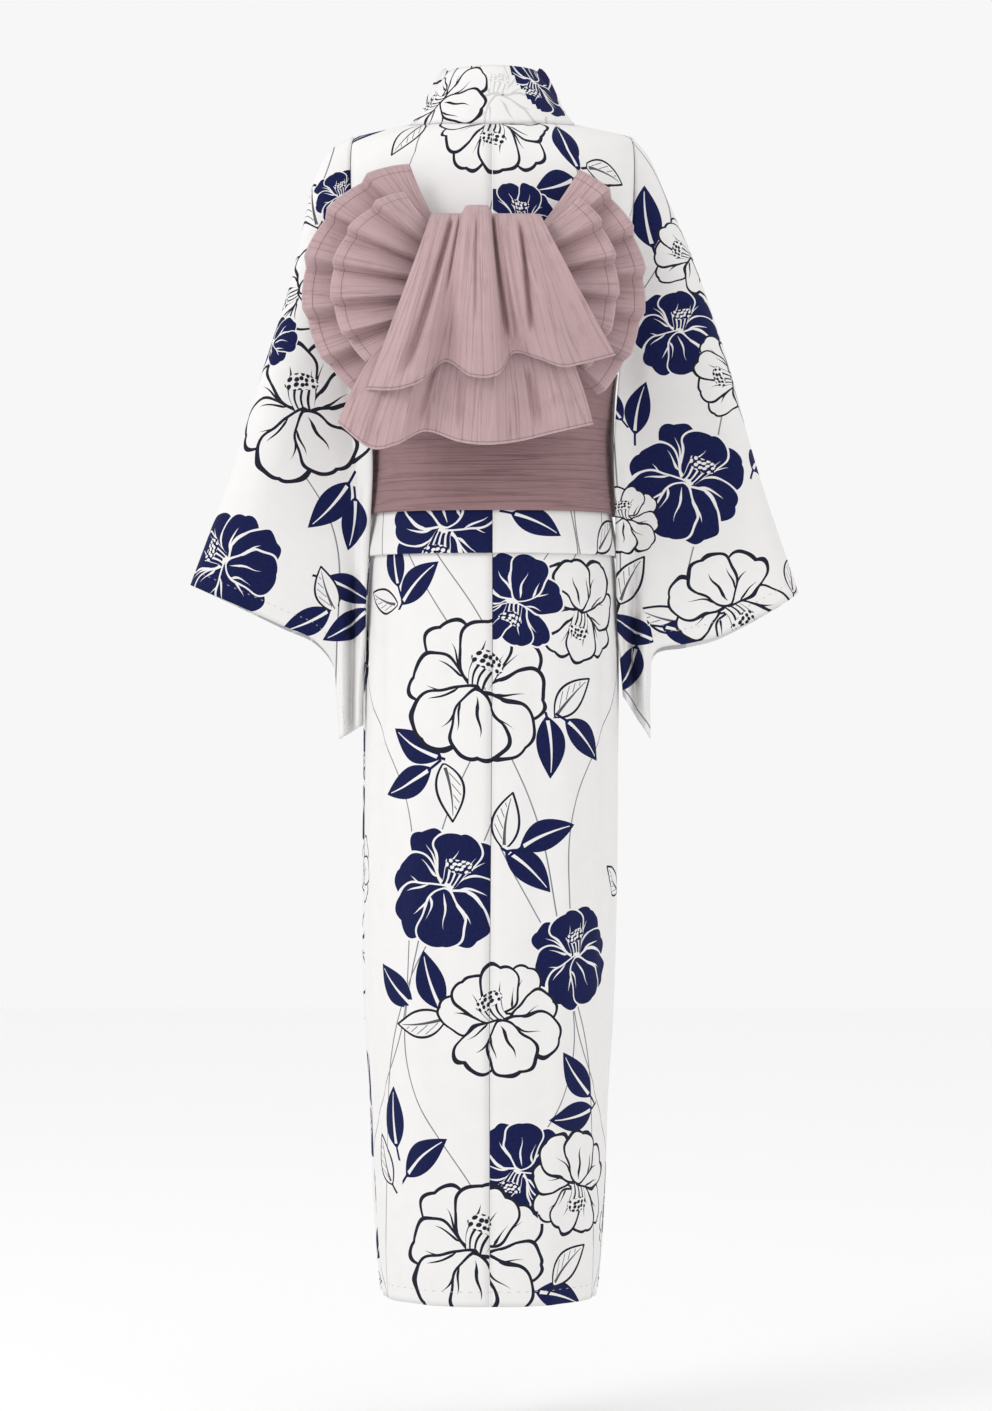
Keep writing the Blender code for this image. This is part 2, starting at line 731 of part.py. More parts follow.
def tail_upper_point(across, along):
    """The upper tail: it lies over the loop's top, over the bow's middle, and falls flared."""
    gather_x = BOW_X + TAIL_GATHER_HALF_WIDTH * (1 - 2 * across)
    rest_y = LOOP_FRONT_Y + TAIL_REST
    top_z = LOOP_TOP_Z + TAIL_REST
    if along < TAIL_OVER - 0.001:
        part = along / TAIL_OVER * 2
        x = BOW_X + TAIL_TOP_HALF_WIDTH * (1 - 2 * across)
        y = blend(BOW_BACK_Y + TAIL_BACK_SETBACK, LOOP_FRONT_Y - TAIL_FRONT_SETBACK, part)
        return Vector((x, y, top_z + top_fold(across) * part))
    part = (along - TAIL_OVER) / (1 - TAIL_OVER)
    x = blend(gather_x, TAIL_UPPER_HEM.size("x", across), part ** TAIL_FLARE)
    y = blend(rest_y, TAIL_UPPER_HEM.size("y", across) + UPPER_HEM_OUT, part)
    y += UPPER_BULGE * sin(pi * part ** BULGE_RISE)
    y += top_fold(across) * (1 - part)
    z = blend(top_z - TAIL_REST + top_fold(across), TAIL_UPPER_HEM.size("z", across), part)
    return Vector((x, y, z))


def tail_lower_point(across, along):
    """The lower tail: it starts behind the upper one, on the loop's front."""
    x = blend(BOW_X + TAIL_TOP_HALF_WIDTH * (1 - 2 * across),
              TAIL_LOWER_HEM.size("x", across), along ** LOWER_TAIL_FLARE)
    y = blend(LOOP_FRONT_Y + TAIL_REST, TAIL_LOWER_HEM.size("y", across), along)
    y += LOWER_BULGE * sin(pi * along ** BULGE_RISE)
    z = blend(LOWER_TAIL_TOP_Z, TAIL_LOWER_HEM.size("z", across), along)
    return Vector((x, y, z))


GARMENT = bpy.data.collections.new("yukata")


def main():
    for thing in list(bpy.data.objects):
        bpy.data.objects.remove(thing, do_unlink=True)
    bpy.context.scene.collection.children.link(GARMENT)
    cotton = material("printed_cotton", (0.87, 0.86, 0.85), 0.85)
    obi = material("mauve_obi", (0.45, 0.30, 0.32), 0.70)
    for side in (1, -1):
        make_body(side, cotton)
        make_okumi(side, cotton)
    make_collar(cotton)
    for side in ("left", "right"):
        make_sleeve(side, cotton)
    make_obi_band(obi)
    make_bow_loop(obi)
    for fan in range(len(FAN_NAMES)):
        make_wing(fan, obi)
    cloth("tail_upper", 36, 8, tail_upper_point, OBI_CLOTH, obi)
    cloth("tail_lower", 28, 4, tail_lower_point, OBI_CLOTH, obi)


main()
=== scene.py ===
# %% [markdown]
# # A yukata and its bow, made as sheets of cloth
# A yukata is an unlined cotton kimono. It is cut from one narrow bolt into long straight
# strips, so every piece here is a rectangle of cloth first and a curved shape second. This
# lesson lays a fine grid on each worn surface, gives it the thickness of cotton, and lets the
# print follow the cloth's own flat measurements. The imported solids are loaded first, because
# they fix where every piece lies.

# %% Load the frame
from itertools import product
from math import asin, cos, degrees, pi, radians, sin, sqrt

import bmesh
import bpy
import numpy as np
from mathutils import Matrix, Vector


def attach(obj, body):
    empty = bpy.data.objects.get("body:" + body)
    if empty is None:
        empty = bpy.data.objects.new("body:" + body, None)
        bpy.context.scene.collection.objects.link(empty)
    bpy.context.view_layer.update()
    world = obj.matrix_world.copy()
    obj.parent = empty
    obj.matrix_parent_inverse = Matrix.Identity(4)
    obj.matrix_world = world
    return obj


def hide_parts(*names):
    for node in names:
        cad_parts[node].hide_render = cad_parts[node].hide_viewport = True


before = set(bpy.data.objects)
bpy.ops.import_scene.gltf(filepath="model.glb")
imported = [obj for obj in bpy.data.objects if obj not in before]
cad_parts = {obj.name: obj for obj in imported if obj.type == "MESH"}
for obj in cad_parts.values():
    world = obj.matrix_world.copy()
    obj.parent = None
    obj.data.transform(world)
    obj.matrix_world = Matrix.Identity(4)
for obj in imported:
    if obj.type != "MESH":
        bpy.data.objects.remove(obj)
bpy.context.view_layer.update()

print("nodes in the frame:", len(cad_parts))

# %% [markdown]
# ## The camera
# The photograph looks straight at the back from a few metres away. One pixel of it is
# 1.08 mm at the middle of the garment. A camera 4.2 m behind the garment with a long lens
# gives the same small perspective, and it is placed level, half way up the picture.

# %% Place the camera
PIXEL = 0.00108
PHOTO_WIDTH = 992
PHOTO_HEIGHT = 1411
MIDDLE_X = 492.5
SHOULDER_Y = 125.0
CAMERA_DISTANCE = 4.2
SENSOR = 36.0

view_height = PHOTO_HEIGHT * PIXEL
camera_x = (MIDDLE_X - PHOTO_WIDTH / 2) * PIXEL
camera_z = (SHOULDER_Y - PHOTO_HEIGHT / 2) * PIXEL
camera_data = bpy.data.cameras.new("camera")
camera_data.sensor_width = SENSOR
camera_data.lens = SENSOR * CAMERA_DISTANCE / view_height
camera = bpy.data.objects.new("camera", camera_data)
camera.location = (camera_x, CAMERA_DISTANCE, camera_z)
camera.rotation_euler = (radians(90), 0, radians(180))
bpy.context.scene.collection.objects.link(camera)
bpy.context.scene.camera = camera
print("lens", round(camera_data.lens, 1), "mm, height seen", round(view_height, 3), "m")


# %% [markdown]
# ## Tables that read as curves
# A garment's sizes change softly from waist to hem. A short table with a row for each level,
# and a smooth curve between the rows, holds such a size better than a long list of points.

# %% Small helpers for sizes
class Table:
    """Rows of sizes with named columns. Between two rows a size follows a smooth curve."""

    def __init__(self, columns, *rows):
        self.columns = columns.split()
        self.rows = rows
        self.keys = [row[0] for row in rows]

    def size(self, column, key):
        index = self.columns.index(column)
        keys = self.keys
        values = [row[index] for row in self.rows]
        last = len(keys) - 1
        if key <= keys[0]:
            return values[0]
        if key >= keys[last]:
            return values[last]
        step = max(i for i in range(last) if keys[i] <= key)
        span = keys[step + 1] - keys[step]
        part = (key - keys[step]) / span

        def slope(i):
            low = max(i - 1, 0)
            high = min(i + 1, last)
            return (values[high] - values[low]) / (keys[high] - keys[low])

        square = part * part
        cube = square * part
        return (values[step] * (2 * cube - 3 * square + 1)
                + values[step + 1] * (3 * square - 2 * cube)
                + slope(step) * span * (cube - 2 * square + part)
                + slope(step + 1) * span * (cube - square))


def ease(amount):
    """A soft step from 0 to 1."""
    amount = min(max(amount, 0.0), 1.0)
    return amount * amount * (3 - 2 * amount)


def blend(first, second, amount):
    return first + (second - first) * amount


def signed_power(value, power):
    return abs(value) ** power * (1 if value >= 0 else -1)


def half_turn(turn):
    """The same turn in degrees, between -180 and 180."""
    return (turn + 180.0) % 360.0 - 180.0


def bump(value, middle, width):
    """A soft ridge of height 1 round a middle value."""
    return ease(1 - abs(value - middle) / width)


def steps(first, last, count):
    """Even steps from first to last, both included."""
    return [blend(first, last, i / (count - 1)) for i in range(count)]


# %% [markdown]
# ## The worn surfaces
# The skirt is a tube that is a little squarer than an ellipse, and the bodice is the same
# tube that closes over the shoulders in a fold. Every panel is a stretch of one of the two, so
# neighbours meet along their seams and layers lie on each other at a known distance.

# %% The skirt's and the bodice's sizes
LAYER = 0.0025
FRONT_LIFT = 0.0045
OBI_CLEARANCE = 0.0042
WAIST_Z = -0.340
OBI_TOP_Z = -0.266
OBI_BOTTOM_Z = -0.421
TUCK_TURN_Z = -0.411
TUCK_FOLD_Z = -0.466
HEM_Z = -1.262
OKUMI_SEAM = 172.0
OKUMI_EDGE_LEFT = 256.0
OKUMI_EDGE_RIGHT = 254.0
SEAM_DEPTH_Y = -0.020
ROUNDNESS = 2.0 / 2.3

SKIRT = Table(
    "down half_width back_depth front_depth shift_x",
    (0.340, 0.1190, 0.110, 0.070, 0.000),
    (0.420, 0.1240, 0.116, 0.076, 0.000),
    (0.466, 0.1315, 0.124, 0.084, 0.000),
    (0.550, 0.1362, 0.131, 0.091, 0.000),
    (0.700, 0.1366, 0.134, 0.094, 0.001),
    (0.820, 0.1366, 0.133, 0.094, 0.002),
    (0.950, 0.1340, 0.130, 0.092, 0.003),
    (1.050, 0.1277, 0.126, 0.090, 0.003),
    (1.150, 0.1245, 0.122, 0.088, 0.003),
    (1.220, 0.1204, 0.118, 0.085, 0.003),
    (1.262, 0.1166, 0.114, 0.082, 0.003),
)
BODICE = Table(
    "rise side_x side_z centre_z back_side_y back_y front_side_y front_y",
    (0.00, 0.124, -0.340, -0.340, -0.020, 0.095, -0.020, -0.095),
    (0.18, 0.127, -0.285, -0.280, -0.004, 0.099, -0.030, -0.099),
    (0.36, 0.137, -0.228, -0.215, 0.020, 0.107, -0.038, -0.103),
    (0.55, 0.145, -0.170, -0.145, 0.033, 0.112, -0.044, -0.101),
    (0.72, 0.149, -0.112, -0.085, 0.038, 0.108, -0.045, -0.090),
    (0.86, 0.151, -0.064, -0.035, 0.036, 0.093, -0.040, -0.068),
    (0.95, 0.151, -0.030, -0.007, 0.022, 0.060, -0.024, -0.040),
    (1.00, 0.149, -0.013, 0.006, 0.000, 0.000, 0.000, 0.000),
)


# %% [markdown]
# ## Soft folds
# Worn cotton is never quite smooth. Each soft fold below is a trough or ridge with its own
# place, width, length and depth, given one by one, so that no two are alike. All the layers
# of the skirt share them, because cloth that lies on cloth takes its folds. A simulation
# would give folds too, but not in the places where the real ones are.

# %% Soft folds of the skirt and the bodice
SKIRT_FOLDS = Table(
    "fold angle lean top bottom width depth",
    (0, 14, 6, -0.50, -0.95, 7, -0.0022),
    (1, 33, -4, -0.62, -1.262, 9, 0.0026),
    (2, 58, 5, -0.48, -1.10, 8, -0.0030),
    (3, 76, -6, -0.75, -1.262, 9, -0.0024),
    (4, 104, 8, -0.50, -1.05, 9, -0.0028),
    (5, 131, -6, -0.66, -1.262, 10, 0.0026),
    (6, 158, 5, -0.52, -1.18, 8, -0.0024),
    (7, 190, -7, -0.56, -1.262, 9, 0.0025),
    (8, 216, 6, -0.50, -1.00, 8, -0.0026),
    (9, 240, -5, -0.70, -1.262, 10, 0.0022),
    (10, 283, 6, -0.49, -1.12, 8, -0.0028),
    (11, 304, -5, -0.80, -1.262, 9, 0.0026),
    (12, 327, 5, -0.52, -0.98, 7, -0.0024),
    (13, 347, -3, -0.66, -1.20, 8, 0.0020),
)
BODICE_FOLDS = Table(
    "fold angle lean start end width depth",
    (0, 24, 5, 0.26, 0.60, 8, 0.0018),
    (1, 46, -7, 0.24, 0.82, 9, -0.0024),
    (2, 66, 4, 0.28, 0.70, 7, 0.0020),
    (3, 116, 6, 0.24, 0.78, 9, -0.0022),
    (4, 141, -6, 0.26, 0.66, 8, 0.0020),
    (5, 214, 5, 0.25, 0.70, 8, 0.0019),
    (6, 238, -6, 0.27, 0.80, 9, -0.0023),
    (7, 294, 5, 0.24, 0.74, 8, 0.0021),
    (8, 315, -6, 0.26, 0.84, 9, -0.0024),
    (9, 337, 4, 0.28, 0.58, 7, 0.0016),
)
BODICE_FOLD_IN = 0.3
BODICE_FOLD_OUT = 0.4
SKIRT_FOLD_START = -0.15
SKIRT_FOLD_END = 1.3
SKIRT_FOLD_IN = 0.35
SKIRT_FOLD_OUT = 0.5
HEM_WAVE = 0.0016
HEM_WAVES = 7
HEM_WAVE_HEIGHT = 0.22
SMOOTH_BELOW_TUCK = 0.06


def bodice_fold(angle, rise):
    """How far the bodice's soft folds push its surface out at a place."""
    total = 0.0
    for _, middle, lean, start, end, width, depth in BODICE_FOLDS.rows:
        along = (rise - start) / (end - start)
        away = half_turn(angle - middle - lean * along)
        ends = ease(along / BODICE_FOLD_IN) * ease((1.0 - along) / BODICE_FOLD_OUT)
        total += depth * bump(away, 0.0, width) * ends
    return total


def skirt_fold(angle, height):
    """How far the skirt's soft folds push its surface out at a place."""
    total = 0.0
    for _, middle, lean, top, bottom, width, depth in SKIRT_FOLDS.rows:
        along = (top - height) / (top - bottom)
        if not SKIRT_FOLD_START < along < SKIRT_FOLD_END:
            continue
        away = half_turn(angle - middle - lean * along)
        ends = ease((along - SKIRT_FOLD_START) / SKIRT_FOLD_IN)
        if bottom > HEM_Z:
            ends *= ease((SKIRT_FOLD_END - along) / SKIRT_FOLD_OUT)
        total += depth * bump(away, 0.0, width) * ends
    hem_wave = HEM_WAVE * sin(radians(angle) * HEM_WAVES)
    hem_wave *= ease((HEM_Z + HEM_WAVE_HEIGHT - height) / HEM_WAVE_HEIGHT)
    return (total + hem_wave) * ease((TUCK_FOLD_Z - height) / SMOOTH_BELOW_TUCK)


print("soft folds:", len(SKIRT_FOLDS.rows), "on the skirt,", len(BODICE_FOLDS.rows), "above it")

# %% [markdown]
# ## Points of the worn surfaces
# Two short functions turn an angle and a height into a point in space. Each takes a distance
# off the surface as well, which is how one panel is laid over another without touching it.

# %% Points of the skirt and the bodice
LIFT_START = 90.0
LIFT_TURN = 10.0
LIFT_END_RISE = 0.95
LIFT_FADE = 0.22


def skirt_point(angle, height, off):
    """A point of the skirt, off metres outside it, at an angle from the centre back."""
    down = -height
    side = sin(radians(angle))
    back = cos(radians(angle))
    off = off + skirt_fold(angle, height)
    depth = SKIRT.size("back_depth" if back >= 0 else "front_depth", down)
    x = SKIRT.size("shift_x", down)
    x += (SKIRT.size("half_width", down) + off) * signed_power(side, ROUNDNESS)
    y = SEAM_DEPTH_Y + (depth + off) * signed_power(back, ROUNDNESS)
    return Vector((x, y, height))


def bodice_point(angle, rise, off):
    """A point of the bodice between the waist and the shoulder fold."""
    side = sin(radians(angle))
    back = cos(radians(angle))
    off = off + bodice_fold(angle, rise)
    x = (BODICE.size("side_x", rise) + off) * signed_power(side, ROUNDNESS)
    if back >= 0:
        edge_y = BODICE.size("back_side_y", rise)
        middle_y = BODICE.size("back_y", rise) + off
    else:
        edge_y = BODICE.size("front_side_y", rise)
        middle_y = BODICE.size("front_y", rise) - off
    y = edge_y + (middle_y - edge_y) * abs(back) ** ROUNDNESS
    top = BODICE.size("centre_z", rise)
    z = top + (BODICE.size("side_z", rise) - top) * side * side
    return Vector((x, y, z))


def front_lift(angle):
    """How far the left front stands off, so that it lies over the right front."""
    return FRONT_LIFT * ease((abs(angle) - LIFT_START) / LIFT_TURN)


def lift_left(rise):
    """The share of that lift which is left towards the shoulder."""
    return ease((LIFT_END_RISE - rise) / LIFT_FADE)


print("waist at the back", [round(c, 3) for c in skirt_point(0.0, WAIST_Z, 0.0)])


# %% [markdown]
# ## From a grid to a wall of cloth
# `create_grid` gives an even net of quads. Each corner is moved to its place on the worn
# surface, and the same corner's place on the flat cloth, in metres, goes into a UV map. A
# Solidify modifier then gives the wall. Its inner side takes the second material, the
# paler reverse of the print.

# %% Make a sheet
NO_HEM = 1.0
COTTON = 0.0009
FOLDED_COLLAR = 0.0022
OBI_CLOTH = 0.0010
WELD = 0.00002


def lay(place, across, along):
    """The points of a sheet, a list of rows, from a function of two shares."""
    return [[place(i / across, j / along) for i in range(across + 1)] for j in range(along + 1)]


def flat_of(points, first_u=None):
    """Where each point lies on the flat cloth, measured along the rows and the middle column."""
    middle = len(points[0]) // 2
    flats = []
    v = 0.0
    for j, row in enumerate(points):
        if j:
            v += (row[middle] - points[j - 1][middle]).length
        u = first_u[j] if first_u else 0.0
        line = [(u, v)]
        for i in range(1, len(row)):
            u += (row[i] - row[i - 1]).length
            line.append((u, v))
        flats.append(line)
    return flats


def cloth(name, points, flats, hems, thickness, outward, closed=False, beyond=None):
    """A wall of cloth from rows of points and their places on the flat cloth. The map named
    hem holds how far in from a hemmed edge each point lies, and how far along it. Beyond is
    a row and other places on the cloth for the faces past it."""
    across = len(points[0]) - 1
    along = len(points) - 1
    mesh = bpy.data.meshes.new(name)
    grid = bmesh.new()
    bmesh.ops.create_grid(grid, x_segments=across, y_segments=along, size=0.5)
    flat = grid.loops.layers.uv.new("cloth")
    hem = grid.loops.layers.uv.new("hem")
    spot = {v: (round((v.co.y + 0.5) * along), round((v.co.x + 0.5) * across))
            for v in grid.verts}
    for face in grid.faces:
        first_row = min(spot[v][0] for v in face.verts)
        places = beyond[1] if beyond and first_row >= beyond[0] else flats
        for corner in face.loops:
            j, i = spot[corner.vert]
            corner[flat].uv = places[j][i]
            corner[hem].uv = hems[j][i]
    for corner, (j, i) in spot.items():
        corner.co = points[j][i]
    if closed:
        bmesh.ops.remove_doubles(grid, verts=grid.verts, dist=WELD)
    grid.normal_update()
    facing = sum(f.normal.dot(outward(f.calc_center_median())) * f.calc_area()
                 for f in grid.faces)
    if facing < 0:
        bmesh.ops.reverse_faces(grid, faces=grid.faces)
    grid.to_mesh(mesh)
    grid.free()
    piece = bpy.data.objects.new(name, mesh)
    bpy.context.scene.collection.objects.link(piece)
    mesh.shade_smooth()
    wall = piece.modifiers.new("wall", "SOLIDIFY")
    wall.thickness = thickness
    wall.offset = 0.0
    wall.use_rim = True
    wall.material_offset = 1
    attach(piece, "root")
    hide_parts(name)
    return piece


def hems_along(flats, first, last):
    """Distances in from a hem at the first row, the last row, or both."""
    hems = []
    for j, line in enumerate(flats):
        row = []
        for i, (u, v) in enumerate(line):
            ends = [abs(v - flats[0][i][1])] if first else []
            ends += [abs(v - flats[-1][i][1])] if last else []
            row.append((min(ends, default=NO_HEM), u))
        hems.append(row)
    return hems


def from_axis(point):
    """Away from the garment's upright middle line."""
    return Vector((point.x, point.y + 0.01, 0.0))


def backward(point):
    return Vector((0.0, 1.0, 0.0))


print("cloth walls:", COTTON * 1000, "mm cotton,", OBI_CLOTH * 1000, "mm obi cloth")


# %% [markdown]
# ## The two body panels
# One strip of cloth makes each half: up the front, over the shoulder without a seam, and
# down the back to the hem. At the waist it is folded up on itself. That tuck, the ohashori,
# shows as a flap below the belt. First come the edges that the collar is sewn to.

# %% The neckline and the shoulder
EDGE_GAP = 0.0005
SEAM_ANGLE = 0.045
SIDE_SEAM = 90.0
NECK_HALF_WIDTH = 0.090
NECK_BACK_Y = 0.064
NECK_TURN = 84
HALVINGS = 40

COLLAR = Table(
    "rise seam_x free_x stand_off",
    (0.00, -0.055, -0.100, 0.000),
    (0.18, -0.036, -0.084, 0.000),
    (0.36, -0.004, -0.056, 0.000),
    (0.55, 0.032, -0.020, 0.000),
    (0.72, 0.062, 0.014, 0.003),
    (0.86, 0.080, 0.037, 0.012),
    (0.95, 0.087, 0.047, 0.035),
    (1.00, 0.090, 0.050, 0.056),
)
BACK_SHOULDER = Table(
    "turn outer_rise",
    (0, 0.70),
    (10, 0.76),
    (24, 0.82),
    (42, 0.88),
    (60, 0.93),
    (78, 0.97),
    (90, 1.00),
)


def front_angle(x, rise):
    """The angle from the centre back of the point on the front at x."""
    share = min(abs(x) / BODICE.size("side_x", rise), 1.0)
    turn = degrees(asin(share ** (1 / ROUNDNESS)))
    return 180.0 - turn if x >= 0 else 180.0 + turn


def neckline(turn):
    """The angle and rise of the neck hole's edge, turn degrees from the centre back."""
    x = NECK_HALF_WIDTH * sin(radians(turn))
    y = NECK_BACK_Y * cos(radians(turn))
    low, high = BODICE.keys[-4], 1.0
    for _ in range(HALVINGS):
        rise = (low + high) / 2.0
        share = min(x / BODICE.size("side_x", rise), 1.0)
        angle = degrees(asin(share ** (1 / ROUNDNESS)))
        if bodice_point(angle, rise, 0.0).y > y:
            low = rise
        else:
            high = rise
    return max(angle, SEAM_ANGLE), rise


print("neckline at the nape: rise", round(neckline(0)[1], 3))

# %% [markdown]
# ## The levels of the waist tuck
# From the belt down, a panel is a list of levels, each with its height and its distance off
# the skirt. The tuck is three layers of the same cloth, so its levels go down, up and down
# again. The skirt's own levels follow, close enough together to show the soft folds.

# %% Levels of the tuck and the skirt
SKIRT_ROWS = 120
SKIRT_TOP_Z = -0.458
TUCK_TOP_Z = -0.350
TUCK_END_Z = -0.452
TUCK_FOLD_RADIUS = 0.003
TUCK_TURN_RADIUS = 0.002
TUCK_FOLD_STEPS = 5
PLAIN_TOP_Z = -0.345
PLAIN_LIFT_Z = -0.390
PLAIN_LIFT_HEIGHT = 0.05


def tuck_levels(base):
    """The waist tuck: down outside, round the fold, up inside, over the turn and down."""
    outer, inner = base + 2 * LAYER, base + LAYER
    fold_z, turn_z = TUCK_FOLD_Z + TUCK_FOLD_RADIUS, TUCK_TURN_Z - TUCK_TURN_RADIUS
    levels = [("tuck", z, outer) for z in steps(TUCK_TOP_Z, fold_z, 18)]
    for step in range(1, TUCK_FOLD_STEPS):
        turn = pi * step / TUCK_FOLD_STEPS
        levels.append(("tuck", fold_z - TUCK_FOLD_RADIUS * sin(turn),
                       (outer + inner) / 2 + LAYER / 2 * cos(turn)))
    levels += [("hidden", z, inner) for z in steps(fold_z, turn_z, 6)]
    levels.append(("hidden", TUCK_TURN_Z, (inner + base) / 2))
    levels += [("hidden", z, base) for z in steps(turn_z, TUCK_END_Z, 5)]
    return levels


def plain_levels():
    """The right front, hidden by the left one, has no tuck and comes in under the belt."""
    return [("hidden", z, LAYER * ease((z - PLAIN_LIFT_Z) / PLAIN_LIFT_HEIGHT))
            for z in steps(PLAIN_TOP_Z, TUCK_END_Z, 12)]


SKIRT_LEVELS = [("skirt", z, 0.0) for z in steps(SKIRT_TOP_Z, HEM_Z, SKIRT_ROWS)]
print("levels:", len(tuck_levels(0.0)), "in the tuck,", len(SKIRT_LEVELS), "in the skirt")

# %% [markdown]
# ## The rows of a body panel
# The rows follow the strip from front hem to back hem. Each row is a small function of the
# share across the panel, so that one list serves both the points and the names of the parts.

# %% Rows from front hem to back hem
BODY_ACROSS = 30
BODICE_ROWS = 60
NECK_ROWS = 24
BODICE_TOP = 0.985
BACK_START = 0.02
OKUMI_SEAM_HALF_GAP = 0.1


def body_rows(over):
    """Rows from front hem to back hem, each from the panel's inner edge to its side edge."""
    front_inner = OKUMI_SEAM - OKUMI_SEAM_HALF_GAP
    front_outer = SIDE_SEAM + SEAM_ANGLE
    back_outer = SIDE_SEAM - SEAM_ANGLE
    rows = []

    def skirt_row(level, inner, outer, lifted):
        part, z, off = level

        def place(across):
            angle = blend(inner, outer, across)
            return skirt_point(angle, z, off + (front_lift(angle) if lifted else 0.0))
        rows.append((part, place))

    def bodice_row(part, inner_angle, inner_rise, outer_angle, outer_rise):
        def place(across):
            angle = blend(inner_angle, outer_angle, across)
            rise = blend(inner_rise, outer_rise, across)
            lift = 0.0
            if over and angle > LIFT_START:
                lift = front_lift(angle) * lift_left(rise)
            return bodice_point(angle, rise, lift)
        rows.append((part, place))

    front = (tuck_levels(0.0) if over else plain_levels()) + SKIRT_LEVELS
    for level in front[::-1]:
        skirt_row(("front_" + level[0], *level[1:]), front_inner, front_outer, over)
    for rise in steps(0.0, BODICE_TOP, BODICE_ROWS):
        edge = COLLAR.size("seam_x", rise) + EDGE_GAP
        inner = min(front_angle(edge, rise), front_inner)
        bodice_row("front_bodice", inner, rise, front_outer, rise)
    ridge = [Vector((blend(NECK_HALF_WIDTH + EDGE_GAP, BODICE.size("side_x", 1.0), share), 0.0,
                     BODICE.size("side_z", 1.0) * share))
             for share in (0.0, 1.0)]
    rows.append(("ridge", lambda across: ridge[0].lerp(ridge[1], across)))
    for turn in steps(NECK_TURN, 0, NECK_ROWS):
        angle, rise = neckline(turn)
        bodice_row("bodice", angle, rise, back_outer, BACK_SHOULDER.size("outer_rise", turn))
    neck_rise = neckline(0)[1]
    for share in steps(BACK_START, 1.0, BODICE_ROWS):
        bodice_row("bodice", SEAM_ANGLE, neck_rise * (1 - share), back_outer,
                   BACK_SHOULDER.size("outer_rise", 0) * (1 - share))
    for level in tuck_levels(0.0) + SKIRT_LEVELS:
        skirt_row(level, SEAM_ANGLE, back_outer, False)
    return rows


def mirror_body(point, side):
    """Mirrors a point of the left body, but not the skirt's small lean to one side."""
    if side > 0:
        return point
    lean = SKIRT.size("shift_x", -point.z)
    return Vector((-(point.x - lean) + lean, point.y, point.z))


def strip_starts(parts, points):
    """How far each row starts from the strip's edge. The neck and the collar cut into it."""
    waist = parts.index("front_bodice")
    shoulder = parts.index("ridge")
    front_edge = abs(points[waist][0].x)
    starts = []
    for j, (part, row) in enumerate(zip(parts, points)):
        start = 0.0
        if waist <= j <= shoulder:
            start = abs(row[0].x) - front_edge * (shoulder - j) / (shoulder - waist)
        elif part == "bodice":
            start = abs(row[0].x)
        starts.append(max(start, 0.0))
    return starts


print("rows in a body panel:", len(body_rows(True)))

# %% [markdown]
# ## Make the body panels
# The right panel mirrors the left one, apart from its hidden front. The flat cloth is measured
# from the shoulder fold, so the print starts at the same height on both.

# %% Make the two body panels
printed = {}
for side, name in ((1, "body_left"), (-1, "body_right")):
    rows = body_rows(side > 0)
    parts = [part for part, _ in rows]
    points = [[mirror_body(place(i / BODY_ACROSS), side) for i in range(BODY_ACROSS + 1)]
              for _, place in rows]
    shoulder = parts.index("ridge")
    flats = flat_of(points, strip_starts(parts, points))
    top = flats[shoulder][0][1]
    flats = [[(u, top - v) for u, v in line] for line in flats]
    hems = hems_along(flats, True, True)
    piece = cloth(name, points, flats, hems, COTTON, from_axis)
    printed[name] = (piece, points, flats, parts)
    print(name, "rows", len(rows), "strip", round(flats[0][0][1] - flats[-1][0][1], 3), "m")


# %% [markdown]
# ## The overlap panels and the collar
# The okumi is a half-width strip sewn to each front edge. It runs to a point where the
# collar's slanting seam meets it. It is laid on the same surfaces as the front beside it, so
# the two edges stay a hair apart all the way down.

# %% The overlap panels
OKUMI_ACROSS = 24
OKUMI_BODICE_ROWS = 26
OKUMI_TIP_RISE = 0.40
OKUMI_TIP_ANGLE = 3.0
OKUMI_WIDENING = 0.10


def make_okumi(side, name):
    """The overlap panel: a narrow tip at the collar, widening to its full width at the hip."""
    over = side > 0
    inner = OKUMI_SEAM + OKUMI_SEAM_HALF_GAP
    edge_angle = OKUMI_EDGE_LEFT if over else OKUMI_EDGE_RIGHT
    base = FRONT_LIFT if over else 0.0
    rows = []
    for rise in steps(OKUMI_TIP_RISE, 0.0, OKUMI_BODICE_ROWS):
        edge = COLLAR.size("seam_x", rise) + EDGE_GAP
        outer = max(front_angle(edge, rise), inner + OKUMI_TIP_ANGLE)
        rows.append(("bodice", None, rise, outer))
    waist_edge = rows[-1][3]
    levels = tuck_levels(base) if over else plain_levels()
    for part, z, off in levels + [(p, z, off + base) for p, z, off in SKIRT_LEVELS]:
        widening = ease((WAIST_Z - z) / OKUMI_WIDENING)
        rows.append((part, z, off, blend(waist_edge, edge_angle, widening)))

    def place(row, across):
        _, z, value, outer = row
        angle = blend(inner, outer, across)
        if z is None:
            point = bodice_point(angle, value, base)
        else:
            point = skirt_point(angle, z, value)
        return mirror_body(point, side)

    points = [[place(row, i / OKUMI_ACROSS) for i in range(OKUMI_ACROSS + 1)] for row in rows]
    flats = flat_of(points)
    flats = [[(u, -v) for u, v in line] for line in flats]
    hems = hems_along(flats, False, True)
    piece = cloth(name, points, flats, hems, COTTON, from_axis)
    printed[name] = (piece, points, flats, [row[0] for row in rows])
    print(name, "strip", round(flats[0][0][1] - flats[-1][0][1], 3), "m")


make_okumi(1, "okumi_left")
make_okumi(-1, "okumi_right")

